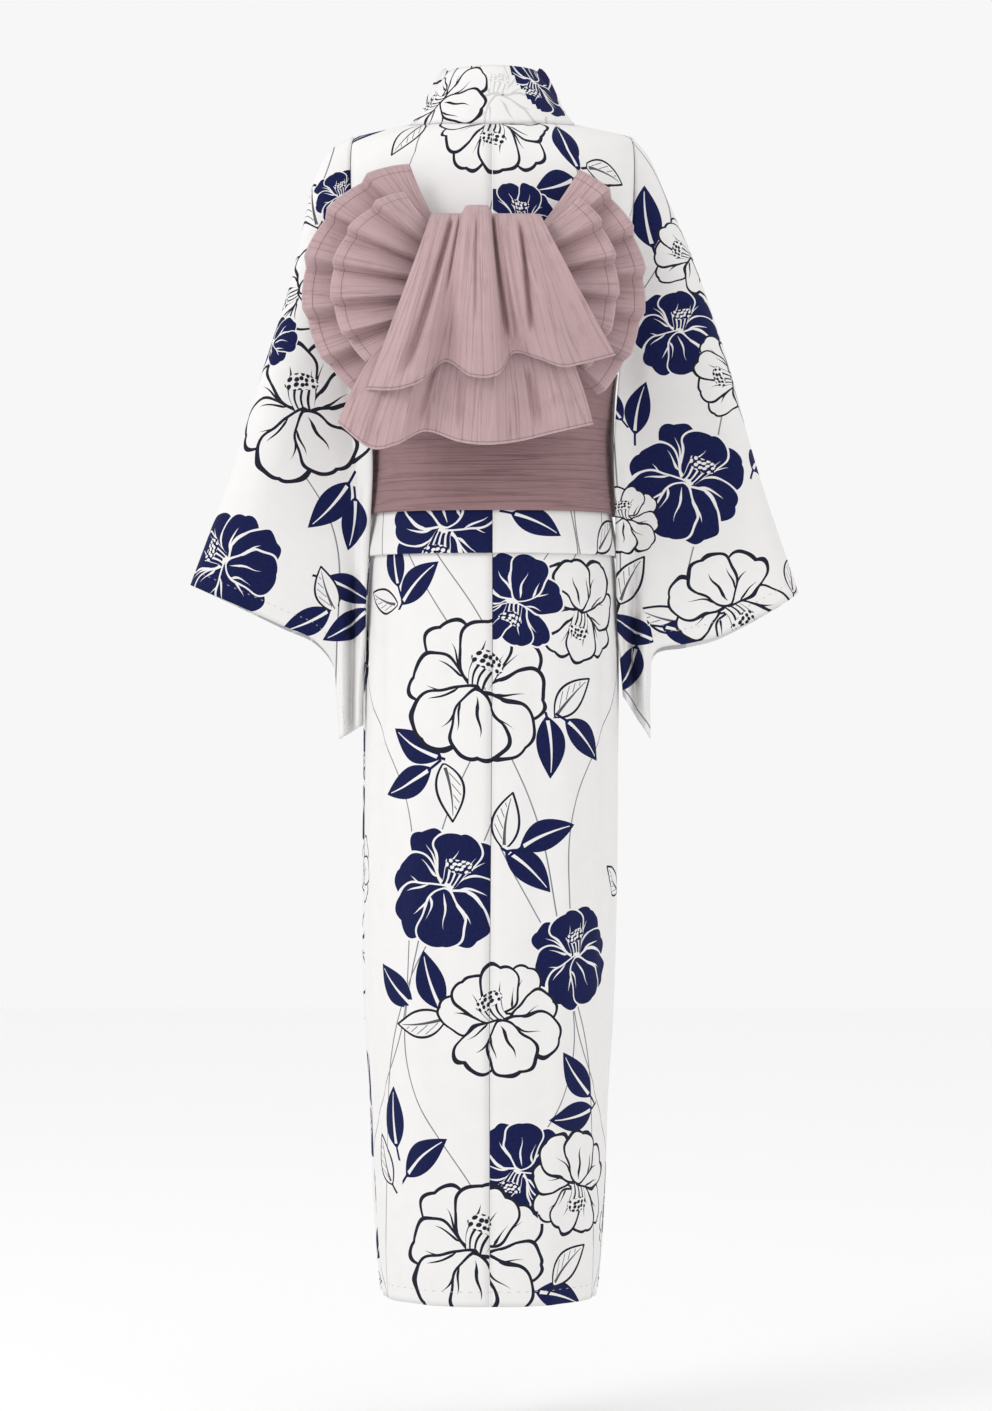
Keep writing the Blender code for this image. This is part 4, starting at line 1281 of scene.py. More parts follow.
# %% Motifs seen from behind
BACK_MOTIFS = Table(
    "number pieces x y radius kind turn",
    (0, "BL BR", 476, 690, 68, "light_flower", -8),
    (1, "BL", 446, 888, 58, "dark_flower", -15),
    (2, "BR", 575, 957, 48, "dark_flower", 20),
    (3, "BL BR", 501, 1022, 56, "light_flower", 25),
    (4, "BR", 516, 600, 46, "dark_flower", 160),
    (5, "BR", 520, 1170, 46, "dark_flower", 165),
    (6, "BR", 581, 610, 50, "light_flower", 185),
    (7, "BR", 577, 1182, 52, "light_flower", 175),
    (8, "BL BR", 474, 1254, 68, "light_flower", -5),
    (9, "BL", 446, 528, 60, "dark_flower", 175),
    (10, "BL BR", 495, 116, 54, "light_flower", 190),
    (11, "BR", 524, 222, 36, "dark_flower", 10),
    (12, "BL", 418, 582, 30, "dark_leaf", 45),
    (13, "BL", 395, 560, 28, "dark_leaf", 98),
    (14, "BR", 550, 747, 31, "dark_leaf", -86),
    (15, "BR", 583, 739, 30, "dark_leaf", -43),
    (16, "BL", 415, 745, 31, "dark_leaf", 152),
    (17, "BL", 407, 783, 31, "dark_leaf", 206),
    (18, "BR", 547, 835, 31, "dark_leaf", 22),
    (19, "BR", 529, 870, 31, "dark_leaf", -42),
    (20, "BL", 396, 986, 30, "dark_leaf", 138),
    (21, "BL", 431, 981, 31, "dark_leaf", 108),
    (22, "BR", 577, 1076, 31, "dark_leaf", 131),
    (23, "BR", 573, 1116, 30, "dark_leaf", 188),
    (24, "BL", 395, 1117, 31, "dark_leaf", 94),
    (25, "BL", 423, 1157, 31, "dark_leaf", 40),
    (26, "BR", 560, 1297, 30, "dark_leaf", -18),
    (27, "BL", 384, 600, 25, "light_leaf", 165),
    (28, "BR", 572, 697, 28, "light_leaf", 43),
    (29, "BL", 450, 792, 29, "light_leaf", 280),
    (30, "BR", 507, 821, 28, "light_leaf", 82),
    (31, "BL", 420, 1023, 28, "light_leaf", 188),
    (32, "BL", 386, 1160, 27, "light_leaf", 118),
    (33, "BR", 567, 1264, 28, "light_leaf", 42),
    (34, "BR", 537, 523, 28, "dark_leaf", -24),
    (35, "BR", 566, 143, 29, "dark_leaf", 122),
    (36, "BR", 556, 186, 27, "dark_leaf", 213),
    (37, "BR", 604, 173, 24, "light_leaf", 20),
    (38, "BL", 408, 136, 27, "light_leaf", 221),
    (39, "BL", 366, 134, 28, "dark_leaf", 195),
    (40, "BR", 606, 536, 28, "light_leaf", 35),
    (41, "C", 534, 82, 40, "dark_flower", 160),
    (42, "C", 444, 102, 44, "light_flower", 80),
    (43, "C", 497, 96, 44, "ghost_flower", 10),
    (44, "SL", 304, 412, 66, "light_flower", 20),
    (45, "SL", 226, 563, 52, "dark_flower", 65),
    (46, "SL", 330, 506, 31, "dark_leaf", 228),
    (47, "SL", 274, 342, 26, "dark_flower", 80),
    (48, "SL", 341, 197, 27, "dark_flower", 20),
    (49, "SL", 314, 205, 26, "light_leaf", 97),
    (50, "SL", 353, 524, 27, "dark_leaf", 262),
    (51, "SL", 349, 590, 28, "dark_leaf", -28),
    (52, "SL", 347, 626, 28, "dark_leaf", 214),
    (53, "SL", 306, 622, 28, "dark_leaf", 204),
    (54, "SL", 300, 292, 40, "light_flower", 110),
    (55, "SL", 327, 590, 24, "light_leaf", 108),
    (56, "SR", 685, 483, 57, "dark_flower", -28),
    (57, "SR", 728, 604, 54, "light_flower", 215),
    (58, "SR", 678, 332, 42, "dark_flower", 5),
    (59, "SR", 647, 217, 32, "dark_leaf", 98),
    (60, "SR", 639, 408, 27, "dark_leaf", 78),
    (61, "SR", 611, 402, 22, "dark_leaf", 118),
    (62, "SR", 693, 262, 40, "light_flower", 75),
    (63, "SR", 734, 380, 42, "light_flower", 100),
    (64, "SR", 632, 629, 27, "dark_leaf", 150),
    (65, "SR", 687, 634, 26, "dark_leaf", -20),
    (66, "SR", 756, 466, 24, "dark_leaf", 60),
    (67, "SR", 630, 580, 27, "light_leaf", 62),
    (68, "SR", 628, 670, 27, "dark_leaf", 246),
    (69, "SR", 790, 575, 24, "light_leaf", 80),
    (70, "SR", 664, 618, 27, "light_leaf", 165),
    (71, "SR", 624, 520, 34, "light_flower", 0),
    (72, "BL", 362, 656, 34, "dark_flower", 90),
    (73, "BL", 356, 868, 38, "light_flower", -90),
    (74, "BR", 614, 1226, 30, "light_flower", 120),
    (75, "BL", 371, 1190, 30, "dark_flower", 80),
    (76, "BR", 612, 880, 26, "light_leaf", 150),
)
PIECE_CODES = {"BL": "body_left", "BR": "body_right", "SL": "sleeve_left",
               "SR": "sleeve_right", "C": "collar"}
print("motifs seen from behind:", len(BACK_MOTIFS.rows))

# %% [markdown]
# ## One repeat of the bolt
# The panels that the photograph doesn't show take a repeat of the same kinds of motif, in the
# flat cloth's own metres. Each panel starts at another place of the repeat.

# %% One repeat of the bolt
BOLT_WIDTH = 0.19
STRIPS = range(2)
REPEATS = range(-6, 7)
BOLT_MOTIFS = Table(
    "number u v radius kind turn",
    (0, 0.050, 0.070, 0.070, "light_flower", 20),
    (1, 0.150, 0.170, 0.060, "dark_flower", 150),
    (2, 0.040, 0.270, 0.052, "dark_flower", 60),
    (3, 0.130, 0.345, 0.062, "light_flower", 205),
    (4, 0.045, 0.440, 0.056, "light_flower", 110),
    (5, 0.150, 0.520, 0.058, "dark_flower", -30),
    (6, 0.150, 0.060, 0.028, "dark_leaf", 50),
    (7, 0.115, 0.095, 0.027, "light_leaf", -20),
    (8, 0.070, 0.180, 0.028, "dark_leaf", 100),
    (9, 0.105, 0.245, 0.026, "dark_leaf", 25),
    (10, 0.160, 0.262, 0.026, "light_leaf", 75),
    (11, 0.040, 0.350, 0.028, "dark_leaf", -50),
    (12, 0.180, 0.420, 0.027, "light_leaf", 60),
    (13, 0.115, 0.440, 0.027, "dark_leaf", 15),
    (14, 0.075, 0.530, 0.028, "dark_leaf", 80),
    (15, 0.020, 0.565, 0.026, "light_leaf", 30),
)
BOLT_OFFSETS = {"body_left": (0.0, 0.08), "body_right": (0.03, 0.34), "okumi_left": (-0.01, 0.20),
                "okumi_right": (0.02, 0.45), "collar": (0.10, 0.05),
                "sleeve_left": (-0.35, 0.15), "sleeve_right": (0.12, 0.40)}
COLLAR_INWARD = 0.08
print("motifs in a repeat:", len(BOLT_MOTIFS.rows))

# %% [markdown]
# ## From the picture to the cloth
# A place in the picture is turned into a place on the flat cloth by looking for the nearest
# point of the panel. A panel may run up or down its strip, and be seen from either side, so
# each one also says which way the picture's right and up lie on its flat cloth.

# %% Places on the flat cloth
HANDED = {"body_left": ((-1, 0), (0, 1)), "body_right": ((1, 0), (0, 1)),
          "sleeve_left": ((1, 0), (0, 1)), "sleeve_right": ((1, 0), (0, 1)),
          "okumi_left": ((1, 0), (0, 1)), "okumi_right": ((-1, 0), (0, 1)),
          "collar": ((0, -1), (1, 0))}
SEEN_PARTS = {"bodice", "tuck", "skirt", "back", "collar"}


def picture_place(point):
    """Where the camera sees a point, in the photograph's pixels."""
    nearer = CAMERA_DISTANCE / (CAMERA_DISTANCE - point.y)
    return (PHOTO_WIDTH / 2 - (point.x - camera_x) * nearer / PIXEL,
            PHOTO_HEIGHT / 2 - (point.z - camera_z) * nearer / PIXEL)


def flat_place(name, x, y):
    """The place on the flat cloth that the camera sees at a pixel, or beyond its edge."""
    _, points, prints, parts = prints_of[name]
    best = None
    for j, row in enumerate(points):
        if parts[j] not in SEEN_PARTS:
            continue
        for i, point in enumerate(row):
            if name == "collar" and point.y < 0:
                continue
            seen_x, seen_y = picture_place(point)
            away = (seen_x - x) ** 2 + (seen_y - y) ** 2
            if best is None or away < best[0]:
                best = (away, seen_x, seen_y, prints[j][i])
    _, seen_x, seen_y, (u, v) = best
    (a, b), (c, d) = HANDED[name]
    right, up = (x - seen_x) * PIXEL, (seen_y - y) * PIXEL
    return u + a * right + c * up, v + b * right + d * up


print("nape in the picture", [round(c) for c in picture_place(Vector((0.0, NECK_BACK_Y, 0.0)))])

# %% [markdown]
# ## The motifs of one panel
# The motifs seen from behind come first. The bolt's repeat then fills the panel's hidden part,
# and leaves out what would cover a motif that is there already, or lie on the part that shows.

# %% Choose the motifs of a panel
MARGIN = 0.05
CLEAR_SHARE = 0.8


def front_part(name, part):
    return part.startswith("front") or name.startswith("okumi") or name == "collar"


def panel_motifs(name):
    """The motifs of one panel as place, radius, kind and turn on its flat cloth."""
    found = []
    for _, pieces, x, y, radius, kind, turn in BACK_MOTIFS.rows:
        if name in [PIECE_CODES[code] for code in pieces.split()]:
            u, v = flat_place(name, x, y)
            found.append((u, v, radius * PIXEL, kind, turn))
    known = [(u, v, radius) for u, v, radius, _, _ in found]
    _, points, prints, parts = prints_of[name]
    front = np.array([p for j, line in enumerate(prints) for p in line
                      if front_part(name, parts[j])])
    back = np.array([p for j, line in enumerate(prints) for p in line
                     if not front_part(name, parts[j])]).reshape(-1, 2)
    low, high = front.min(axis=0) - MARGIN, front.max(axis=0) + MARGIN
    first_u, first_v = BOLT_OFFSETS[name]
    for _, u, v, radius, kind, turn in BOLT_MOTIFS.rows:
        for strip, repeat in product(STRIPS, REPEATS):
            place = np.array((u + first_u + strip * BOLT_WIDTH,
                              v + first_v + repeat * BOLT_REPEAT))
            if name == "collar":
                place = place[::-1] - (COLLAR_INWARD, 0.0)
            if (place < low).any() or (place > high).any():
                continue
            if len(back) and np.hypot(*(back - place).T).min() < radius * CLEAR_SHARE:
                continue
            if np.hypot(*(front - place).T).min() > radius:
                continue
            if any(np.hypot(place[0] - a, place[1] - b) < CLEAR_SHARE * (radius + c)
                   for a, b, c in known):
                continue
            found.append((*place, radius, kind, turn))
    return found


print("motifs on the left overlap panel:", len(panel_motifs("okumi_left")))

# %% [markdown]
# ## Lay the motifs
# A motif's shade is packed into its coordinates: dark ones have ten added to x, and faint
# ones, which show through from the other side, twenty. A face with no motif reads (3, 0),
# which is outside every petal and leaf. Where two motifs would share a map, the face takes
# the nearer one.

# %% Lay the motifs on the panels
REACH = {"flower": 1.20, "leaf": 1.42}
MAPS = ("flower_a", "flower_b", "leaf_a", "leaf_b")
UNUSED = (3.0, 0.0)
FAR_OFF = 9.0
CLEAR_ENOUGH = 1.1
FACE_SHARE = 0.6
SHADE_STEP = 10.0
SHADE_CODES = {"light": 0.0, "dark": SHADE_STEP, "ghost": 2 * SHADE_STEP}


def lay_motifs(name):
    """Gives each face of a panel the coordinates of the motifs that it lies in."""
    mesh = prints_of[name][0].data
    corners = np.zeros(len(mesh.loops) * 2)
    mesh.uv_layers["cloth"].uv.foreach_get("vector", corners)
    corners = corners.reshape(-1, 4, 2)
    centres = corners.mean(axis=1)
    size = np.hypot(*(corners[:, 0] - corners[:, 2]).T)
    best = {key: np.full(len(centres), FAR_OFF) for key in MAPS}
    local = {key: np.tile(UNUSED, (len(centres), 4, 1)).astype(float) for key in MAPS}
    (a, b), (c, d) = HANDED[name]
    placed = []
    for u, v, radius, kind, turn in panel_motifs(name):
        shade, form = kind.split("_")
        clear = {}
        for key in (form + "_a", form + "_b"):
            spans = [np.hypot(u - pu, v - pv) / ((radius + pr) * REACH[form])
                     for pu, pv, pr, pkey in placed if pkey == key]
            clear[key] = min(spans, default=FAR_OFF)
        key = max(sorted(clear), key=lambda k: min(clear[k], CLEAR_ENOUGH))
        placed.append((u, v, radius, key))
        side = corners - (u, v)
        seen = np.stack((a * side[..., 0] + b * side[..., 1],
                         c * side[..., 0] + d * side[..., 1]), axis=-1) / radius
        angle = radians(turn)
        turned = np.stack((cos(angle) * seen[..., 0] + sin(angle) * seen[..., 1],
                           cos(angle) * seen[..., 1] - sin(angle) * seen[..., 0]), axis=-1)
        away = np.hypot(*turned.mean(axis=1).T)
        mine = (away < REACH[form] + size / radius * FACE_SHARE) & (away < best[key])
        best[key][mine] = away[mine]
        turned[..., 0] += SHADE_CODES[shade]
        local[key][mine] = turned[mine]
    for key in MAPS:
        layer = mesh.uv_layers.new(name=key)
        layer.uv.foreach_set("vector", local[key].reshape(-1))
    return len(placed)


for name in prints_of:
    print(name, "motifs", lay_motifs(name))


# %% [markdown]
# ## Shader sums
# A small wrapper lets shader maths read like ordinary sums. Each operator adds a Math node,
# and one method makes any other node: its type, its settings, and the values or links of its
# sockets.

# %% The socket wrapper
class Value:
    """The output of a shader node, which can be added, multiplied and compared."""

    def __init__(self, graph, socket):
        self.graph = graph
        self.socket = socket

    def math(self, operation, *others):
        return self.graph.make("ShaderNodeMath", {"operation": operation}, (self, *others))

    def __add__(self, other):
        return self.math("ADD", other)

    def __sub__(self, other):
        return self.math("SUBTRACT", other)

    def __mul__(self, other):
        return self.math("MULTIPLY", other)

    def __truediv__(self, other):
        return self.math("DIVIDE", other)

    def __rsub__(self, other):
        return self.graph.make("ShaderNodeMath", {"operation": "SUBTRACT"}, (other, self))

    __radd__ = __add__
    __rmul__ = __mul__

    def __lt__(self, other):
        return self.math("LESS_THAN", other)

    def __gt__(self, other):
        return self.math("GREATER_THAN", other)

    def __abs__(self):
        return self.math("ABSOLUTE")

    def max(self, other):
        return self.math("MAXIMUM", other)

    def min(self, other):
        return self.math("MINIMUM", other)


class Graph:
    """A material's node tree with a few ways to add nodes."""

    def __init__(self, material):
        self.tree = material.node_tree

    def make(self, kind, settings, inputs, output=0):
        """Any node: its type, its settings, and what its sockets hold or are linked to."""
        node = self.tree.nodes.new(kind)
        for name, value in settings.items():
            setattr(node, name, value)
        pairs = inputs.items() if isinstance(inputs, dict) else enumerate(inputs)
        for name, value in pairs:
            if isinstance(value, Value):
                self.tree.links.new(value.socket, node.inputs[name])
            else:
                node.inputs[name].default_value = value
        return Value(self, node.outputs[output])

    def uv(self, name):
        return self.make("ShaderNodeUVMap", {"uv_map": name}, ())

    def parts(self, vector):
        first = self.make("ShaderNodeSeparateXYZ", {}, (vector,))
        return first, Value(self, first.socket.node.outputs[1])

    def pair(self, x, y):
        return self.make("ShaderNodeCombineXYZ", {}, (x, y))

    def place(self, vector, x, y, width, height, turn):
        """The vector as seen from a place, turned and measured in widths and heights."""
        return self.make("ShaderNodeMapping", {"vector_type": "TEXTURE"}, {
            "Vector": vector, "Location": (x, y, 0), "Rotation": (0, 0, radians(turn)),
            "Scale": (width, height, 1)})

    def length(self, vector):
        return self.make("ShaderNodeVectorMath", {"operation": "LENGTH"}, (vector,), "Value")

    def mix(self, share, first, second):
        """A number between two others."""
        return self.make("ShaderNodeMix", {"data_type": "FLOAT"}, {0: share, 2: first, 3: second})

    def mix_colour(self, share, first, second):
        """A colour between two others, each given as three numbers or as an output."""
        first, second = [(*c, 1.0) if isinstance(c, tuple) else c for c in (first, second)]
        return self.make("ShaderNodeMix", {"data_type": "RGBA"},
                         {0: share, 6: first, 7: second}, 2)

    def noise(self, vector, scale, detail=2.0, output=0):
        """Flat noise: output 0 is its height and output 1 its colour."""
        return self.make("ShaderNodeTexNoise", {"noise_dimensions": "2D"}, {
            "Vector": vector, "Scale": scale, "Detail": detail}, output)


# %% [markdown]
# ## The camellias
# A flower is a pile of petals. Each petal is an ellipse with a dent in its tip. Petals are
# laid down from back to front, each one hides what lies under it, and each leaves an outline
# and a few tapering strokes. The stamens go on before the front petals. There are two kinds of
# flower, one open and one from the side, and noise bends each flower a little differently.

# %% Petals
OPEN_FLOWER = Table(
    "petal x y length width turn",
    (0, -0.34, 0.44, 0.50, 0.38, 126),
    (1, 0.40, 0.40, 0.50, 0.38, 48),
    (2, 0.02, 0.53, 0.46, 0.38, 88),
    (3, -0.52, 0.02, 0.46, 0.37, 176),
    (4, 0.55, 0.00, 0.44, 0.35, 4),
    (5, 0.42, -0.40, 0.48, 0.40, -42),
    (6, -0.34, -0.40, 0.54, 0.45, 228),
    (7, 0.08, -0.50, 0.47, 0.40, 282),
)
SIDE_FLOWER = Table(
    "petal x y length width turn",
    (0, -0.48, 0.36, 0.48, 0.32, 142),
    (1, 0.50, 0.34, 0.46, 0.31, 36),
    (2, -0.20, 0.50, 0.46, 0.34, 108),
    (3, 0.20, 0.50, 0.45, 0.34, 68),
    (4, 0.56, -0.06, 0.42, 0.30, 0),
    (5, -0.44, -0.22, 0.50, 0.39, 205),
    (6, 0.40, -0.38, 0.48, 0.38, -44),
    (7, -0.06, -0.48, 0.48, 0.42, 268),
)
STAMENS_BEFORE = 5
TIP_DENT = 0.30
PETAL_SIZE = 0.42
LINE = 0.025
LINE_DARK = 0.019
STROKE = 0.056
STROKE_BODY = 1.2
STROKE_START = 0.80
STROKE_START_TAPER = 0.14
STROKE_SIDE_TAPER = 0.30
STROKE_END = 0.42
STROKE_SPACING = 0.19
STROKE_BEND = 0.16
STROKE_SHIFT = 0.10
STROKE_MEETING = 2.1


def petal(graph, spot, row, ink, cover, line):
    """Lays one petal over what is there. Returns the lines and the covered area."""
    _, x, y, length, width, turn = row
    along, across = graph.parts(graph.place(spot, x, y, length, width, turn))
    dented = along - TIP_DENT * abs(across)
    beyond = (graph.length(graph.pair(dented, across)) - 1.0) * PETAL_SIZE
    inside = beyond < 0.0
    edge = abs(beyond) < line
    bent = across + STROKE_BEND * along * along - STROKE_SHIFT
    fan = (bent / (along + STROKE_MEETING)).math("PINGPONG", STROKE_SPACING)
    taper = ((STROKE_END - along) * (STROKE / STROKE_BODY)).min(
        (along + STROKE_START) * STROKE_START_TAPER)
    stroke = fan < taper - STROKE_SIDE_TAPER * abs(across) * STROKE
    ink = edge.max(graph.mix(inside, ink, stroke))
    return ink, cover.max(inside)


print("petals:", len(OPEN_FLOWER.rows), "open,", len(SIDE_FLOWER.rows), "from the side")

# %% [markdown]
# ## Stamens
# A camellia's stamens are one tight bundle that opens towards a crown of dots. Lines that meet
# at a point are a ratio of two coordinates, folded back and forth, and the dots are cells of a
# Voronoi pattern inside an ellipse.

# %% Stamens and whole flowers
STAMEN_SIZE = 0.50
BUNDLE_HALF_WIDTH = 0.26
BUNDLE_FLARE = 0.22
BUNDLE_FOOT = -0.4
BUNDLE_TOP = 0.66
FILAMENTS_MEET = 1.5
FILAMENT_SPACING = 0.047
FILAMENT = 0.017
CROWN = (0.80, 0.0, 0.25, 0.50)
DOT_SCALE = 6.0
DOT_SCATTER = 0.45
DOT_SIZE = 0.38
SHAKE = 0.18
SHAKE_SCALE = 2.2
GHOST_FADE = 0.75


def stamens(graph, spot, ink, place, turn):
    """A bundle of filaments that opens towards its dotted heads."""
    along, across = graph.parts(graph.place(spot, *place, STAMEN_SIZE, STAMEN_SIZE, turn))
    bundle = abs(across) < BUNDLE_FLARE * along + BUNDLE_HALF_WIDTH
    bundle = bundle * (along > BUNDLE_FOOT) * (along < BUNDLE_TOP)
    lines = (across / (along + FILAMENTS_MEET)).math("PINGPONG", FILAMENT_SPACING) < FILAMENT
    here = graph.pair(along, across)
    heads = graph.length(graph.place(here, *CROWN, 0)) < 1.0
    dots = graph.make("ShaderNodeTexVoronoi", {"voronoi_dimensions": "2D"}, {
        "Vector": here, "Scale": DOT_SCALE, "Randomness": DOT_SCATTER}, "Distance") < DOT_SIZE
    ink = graph.mix(bundle, ink, lines)
    return graph.mix(heads, ink, dots)


def flower(graph, layer, petals, centre, turn):
    """A flower from its own coordinates: lines, covered area and whether it is dark."""
    raw = graph.uv(layer)
    x, y = graph.parts(raw)
    faint = x > 1.5 * SHADE_STEP
    dark = (x > 0.5 * SHADE_STEP) - faint
    spot = graph.pair(x - SHADE_STEP * dark - 2 * SHADE_STEP * faint, y)
    shake = graph.noise(raw, SHAKE_SCALE, 0.0, 1)
    moved = graph.make("ShaderNodeVectorMath", {"operation": "MULTIPLY_ADD"},
                       (shake, (SHAKE, SHAKE, 0.0), spot))
    spot = graph.make("ShaderNodeVectorMath", {"operation": "SUBTRACT"},
                      (moved, (SHAKE / 2, SHAKE / 2, 0.0)))
    line = LINE - (LINE - LINE_DARK) * dark
    ink = graph.make("ShaderNodeValue", {}, ())
    ink.socket.default_value = 0.0
    cover = ink
    for row in petals.rows:
        if row[0] == STAMENS_BEFORE:
            ink = stamens(graph, spot, ink, centre, turn)
        ink, cover = petal(graph, spot, row, ink, cover, line)
    return ink * (1.0 - GHOST_FADE * faint), cover, dark


print("stamens lie under petals", STAMENS_BEFORE, "to", len(OPEN_FLOWER.rows) - 1)

# %% [markdown]
# ## Leaves
# A leaf runs from -1 at its foot to 1 at its tip, and a parabola gives its half width. A small
# bend moves the whole leaf sideways first, so its rib and stalk curve with it.

# %% Leaves
LEAF_BEND = 0.10
LEAF_BEND_MIDDLE = 0.4
LEAF_HALF_WIDTH = 0.47
LEAF_POINT = 0.12
LEAF_LINE = 0.045
LEAF_LINE_END = 1.03
RIB_WIDTH = 0.036
RIB_TAPER = 0.030
RIB_FOOT = -0.84
RIB_TOP = 0.80
RIB_INK = 0.9
VEIN_SLANT = 1.6
VEIN_SPACING = 0.19
VEIN_WIDTH = 0.024
VEIN_INSET = 0.10
VEIN_CLEAR = 0.07
STALK_START = -0.93
STALK_END = -1.38


def leaf(graph, layer):
    """A pointed leaf with a midrib, on a curved stalk. A light one has strokes on one side."""
    x, y = graph.parts(graph.uv(layer))
    dark = x > 0.5 * SHADE_STEP
    x = x - SHADE_STEP * dark
    y = y + LEAF_BEND * (x * x - LEAF_BEND_MIDDLE)
    wide = abs(y)
    beyond = wide - (1.0 - x * x) * (LEAF_HALF_WIDTH - LEAF_POINT * x)
    inside = beyond < 0.0
    edge = (abs(beyond) < LEAF_LINE) * (abs(x) < LEAF_LINE_END)
    rib = (wide < RIB_WIDTH - RIB_TAPER * x) * (x < RIB_TOP) * (x > RIB_FOOT)
    veins = (x - VEIN_SLANT * y).math("PINGPONG", VEIN_SPACING) < VEIN_WIDTH
    veins = veins * (beyond < -VEIN_INSET) * (y > VEIN_CLEAR)
    stalk = (wide < LEAF_LINE) * (x < STALK_START) * (x > STALK_END)
    light_ink = edge.max(inside * rib * RIB_INK).max(inside * veins).max(stalk)
    ink = graph.mix(dark, light_ink, inside * rib)
    return ink, inside.max(stalk), dark


print("a leaf of radius 1 is", round(2 * LEAF_HALF_WIDTH, 2), "wide")

# %% [markdown]
# ## Stems
# Thin grey stems wander along the whole bolt behind the motifs. Each is a slow sine with a
# faster one added, and most have a repeat of their own, so they cross at uneven places.

# %% Stems
STEMS = Table(
    "stem middle swing repeat phase",
    (0, 0.050, 0.046, 0.61, 0.3),
    (1, 0.125, 0.052, 0.61, 2.6),
    (2, 0.080, 0.072, 0.98, 4.0),
    (3, -0.210, 0.060, 0.61, 0.9),
    (4, 0.270, 0.070, 0.83, 2.0),
)
STEM_WIDTH = 0.00080
STEM_WOBBLE = 0.28
WOBBLE_PHASE = 1.9


def stems(graph, flat):
    """Thin curved stems that cross the cloth from end to end."""
    u, v = graph.parts(flat)
    lines = None
    for _, middle, swing, repeat, phase in STEMS.rows:
        turn = v * (2 * pi / repeat) + phase
        wobble = STEM_WOBBLE * (turn * 2.0 + WOBBLE_PHASE * phase).math("SINE")
        curve = swing * (turn.math("SINE") + wobble) + middle
        line = abs(u - curve) < STEM_WIDTH
        lines = line if lines is None else lines.max(line)
    return lines


print("stems:", len(STEMS.rows))

# %% [markdown]
# ## Printed cotton
# The layers are mixed from the ground up: stems, leaves, then flowers. Dark motifs are filled
# with navy and drawn in the colour of the ground, and light ones the other way round. The
# reverse of the cloth shows the same print, much paler. Threads, slubs, hem stitches and soft
# creases only bend the light, so they are bump on top of one another.

# %% The cotton
GROUND = (0.83, 0.82, 0.81)
GROUND_DEEP = (0.79, 0.78, 0.775)
NAVY = (0.0030, 0.0050, 0.050)
NAVY_WORN = (0.0090, 0.0140, 0.075)
STITCH_GREY = (0.45, 0.45, 0.47)
HEM_IN = 0.016
OUTLINE = (0.013, 0.014, 0.026)
STEM_GREY = (0.22, 0.22, 0.24)
REVERSE_GROUND = (0.74, 0.73, 0.74)
REVERSE_SHOWN = 0.30
CLOUD_SCALE = 45.0
NAVY_SCALE = 300.0
THREADS = 7400.0
SLUB_SCALE = 900.0
SLUB_LENGTH = 9.0
CREASE_SCALE = 16.0
STITCH_HALF_WIDTH = 0.0005
STITCH_STEP = 0.005
STITCH_HALF_LENGTH = 0.0016


def new_finish(name):
    """A material and its graph."""
    finish = bpy.data.materials.new(name)
    finish.use_nodes = True
    return finish, Graph(finish)


def dress(finish, colour, bend, roughness, specular, sheen, sheen_roughness):
    """Links a finish's colour and bumps, and sets how it shines."""
    shader = finish.node_tree.nodes["Principled BSDF"]
    finish.node_tree.links.new(colour.socket, shader.inputs["Base Color"])
    finish.node_tree.links.new(bend.socket, shader.inputs["Normal"])
    shader.inputs["Roughness"].default_value = roughness
    shader.inputs["Specular IOR Level"].default_value = specular
    shader.inputs["Sheen Weight"].default_value = sheen
    shader.inputs["Sheen Roughness"].default_value = sheen_roughness


def woven(u, v, threads):
    """Threads that go over and under one another."""
    return (u * threads).math("SINE") * (v * threads).math("SINE")


def soft_bump(graph, height, strength, distance, below=None):
    inputs = {"Height": height, "Strength": strength, "Distance": distance}
    if below is not None:
        inputs["Normal"] = below
    return graph.make("ShaderNodeBump", {}, inputs)


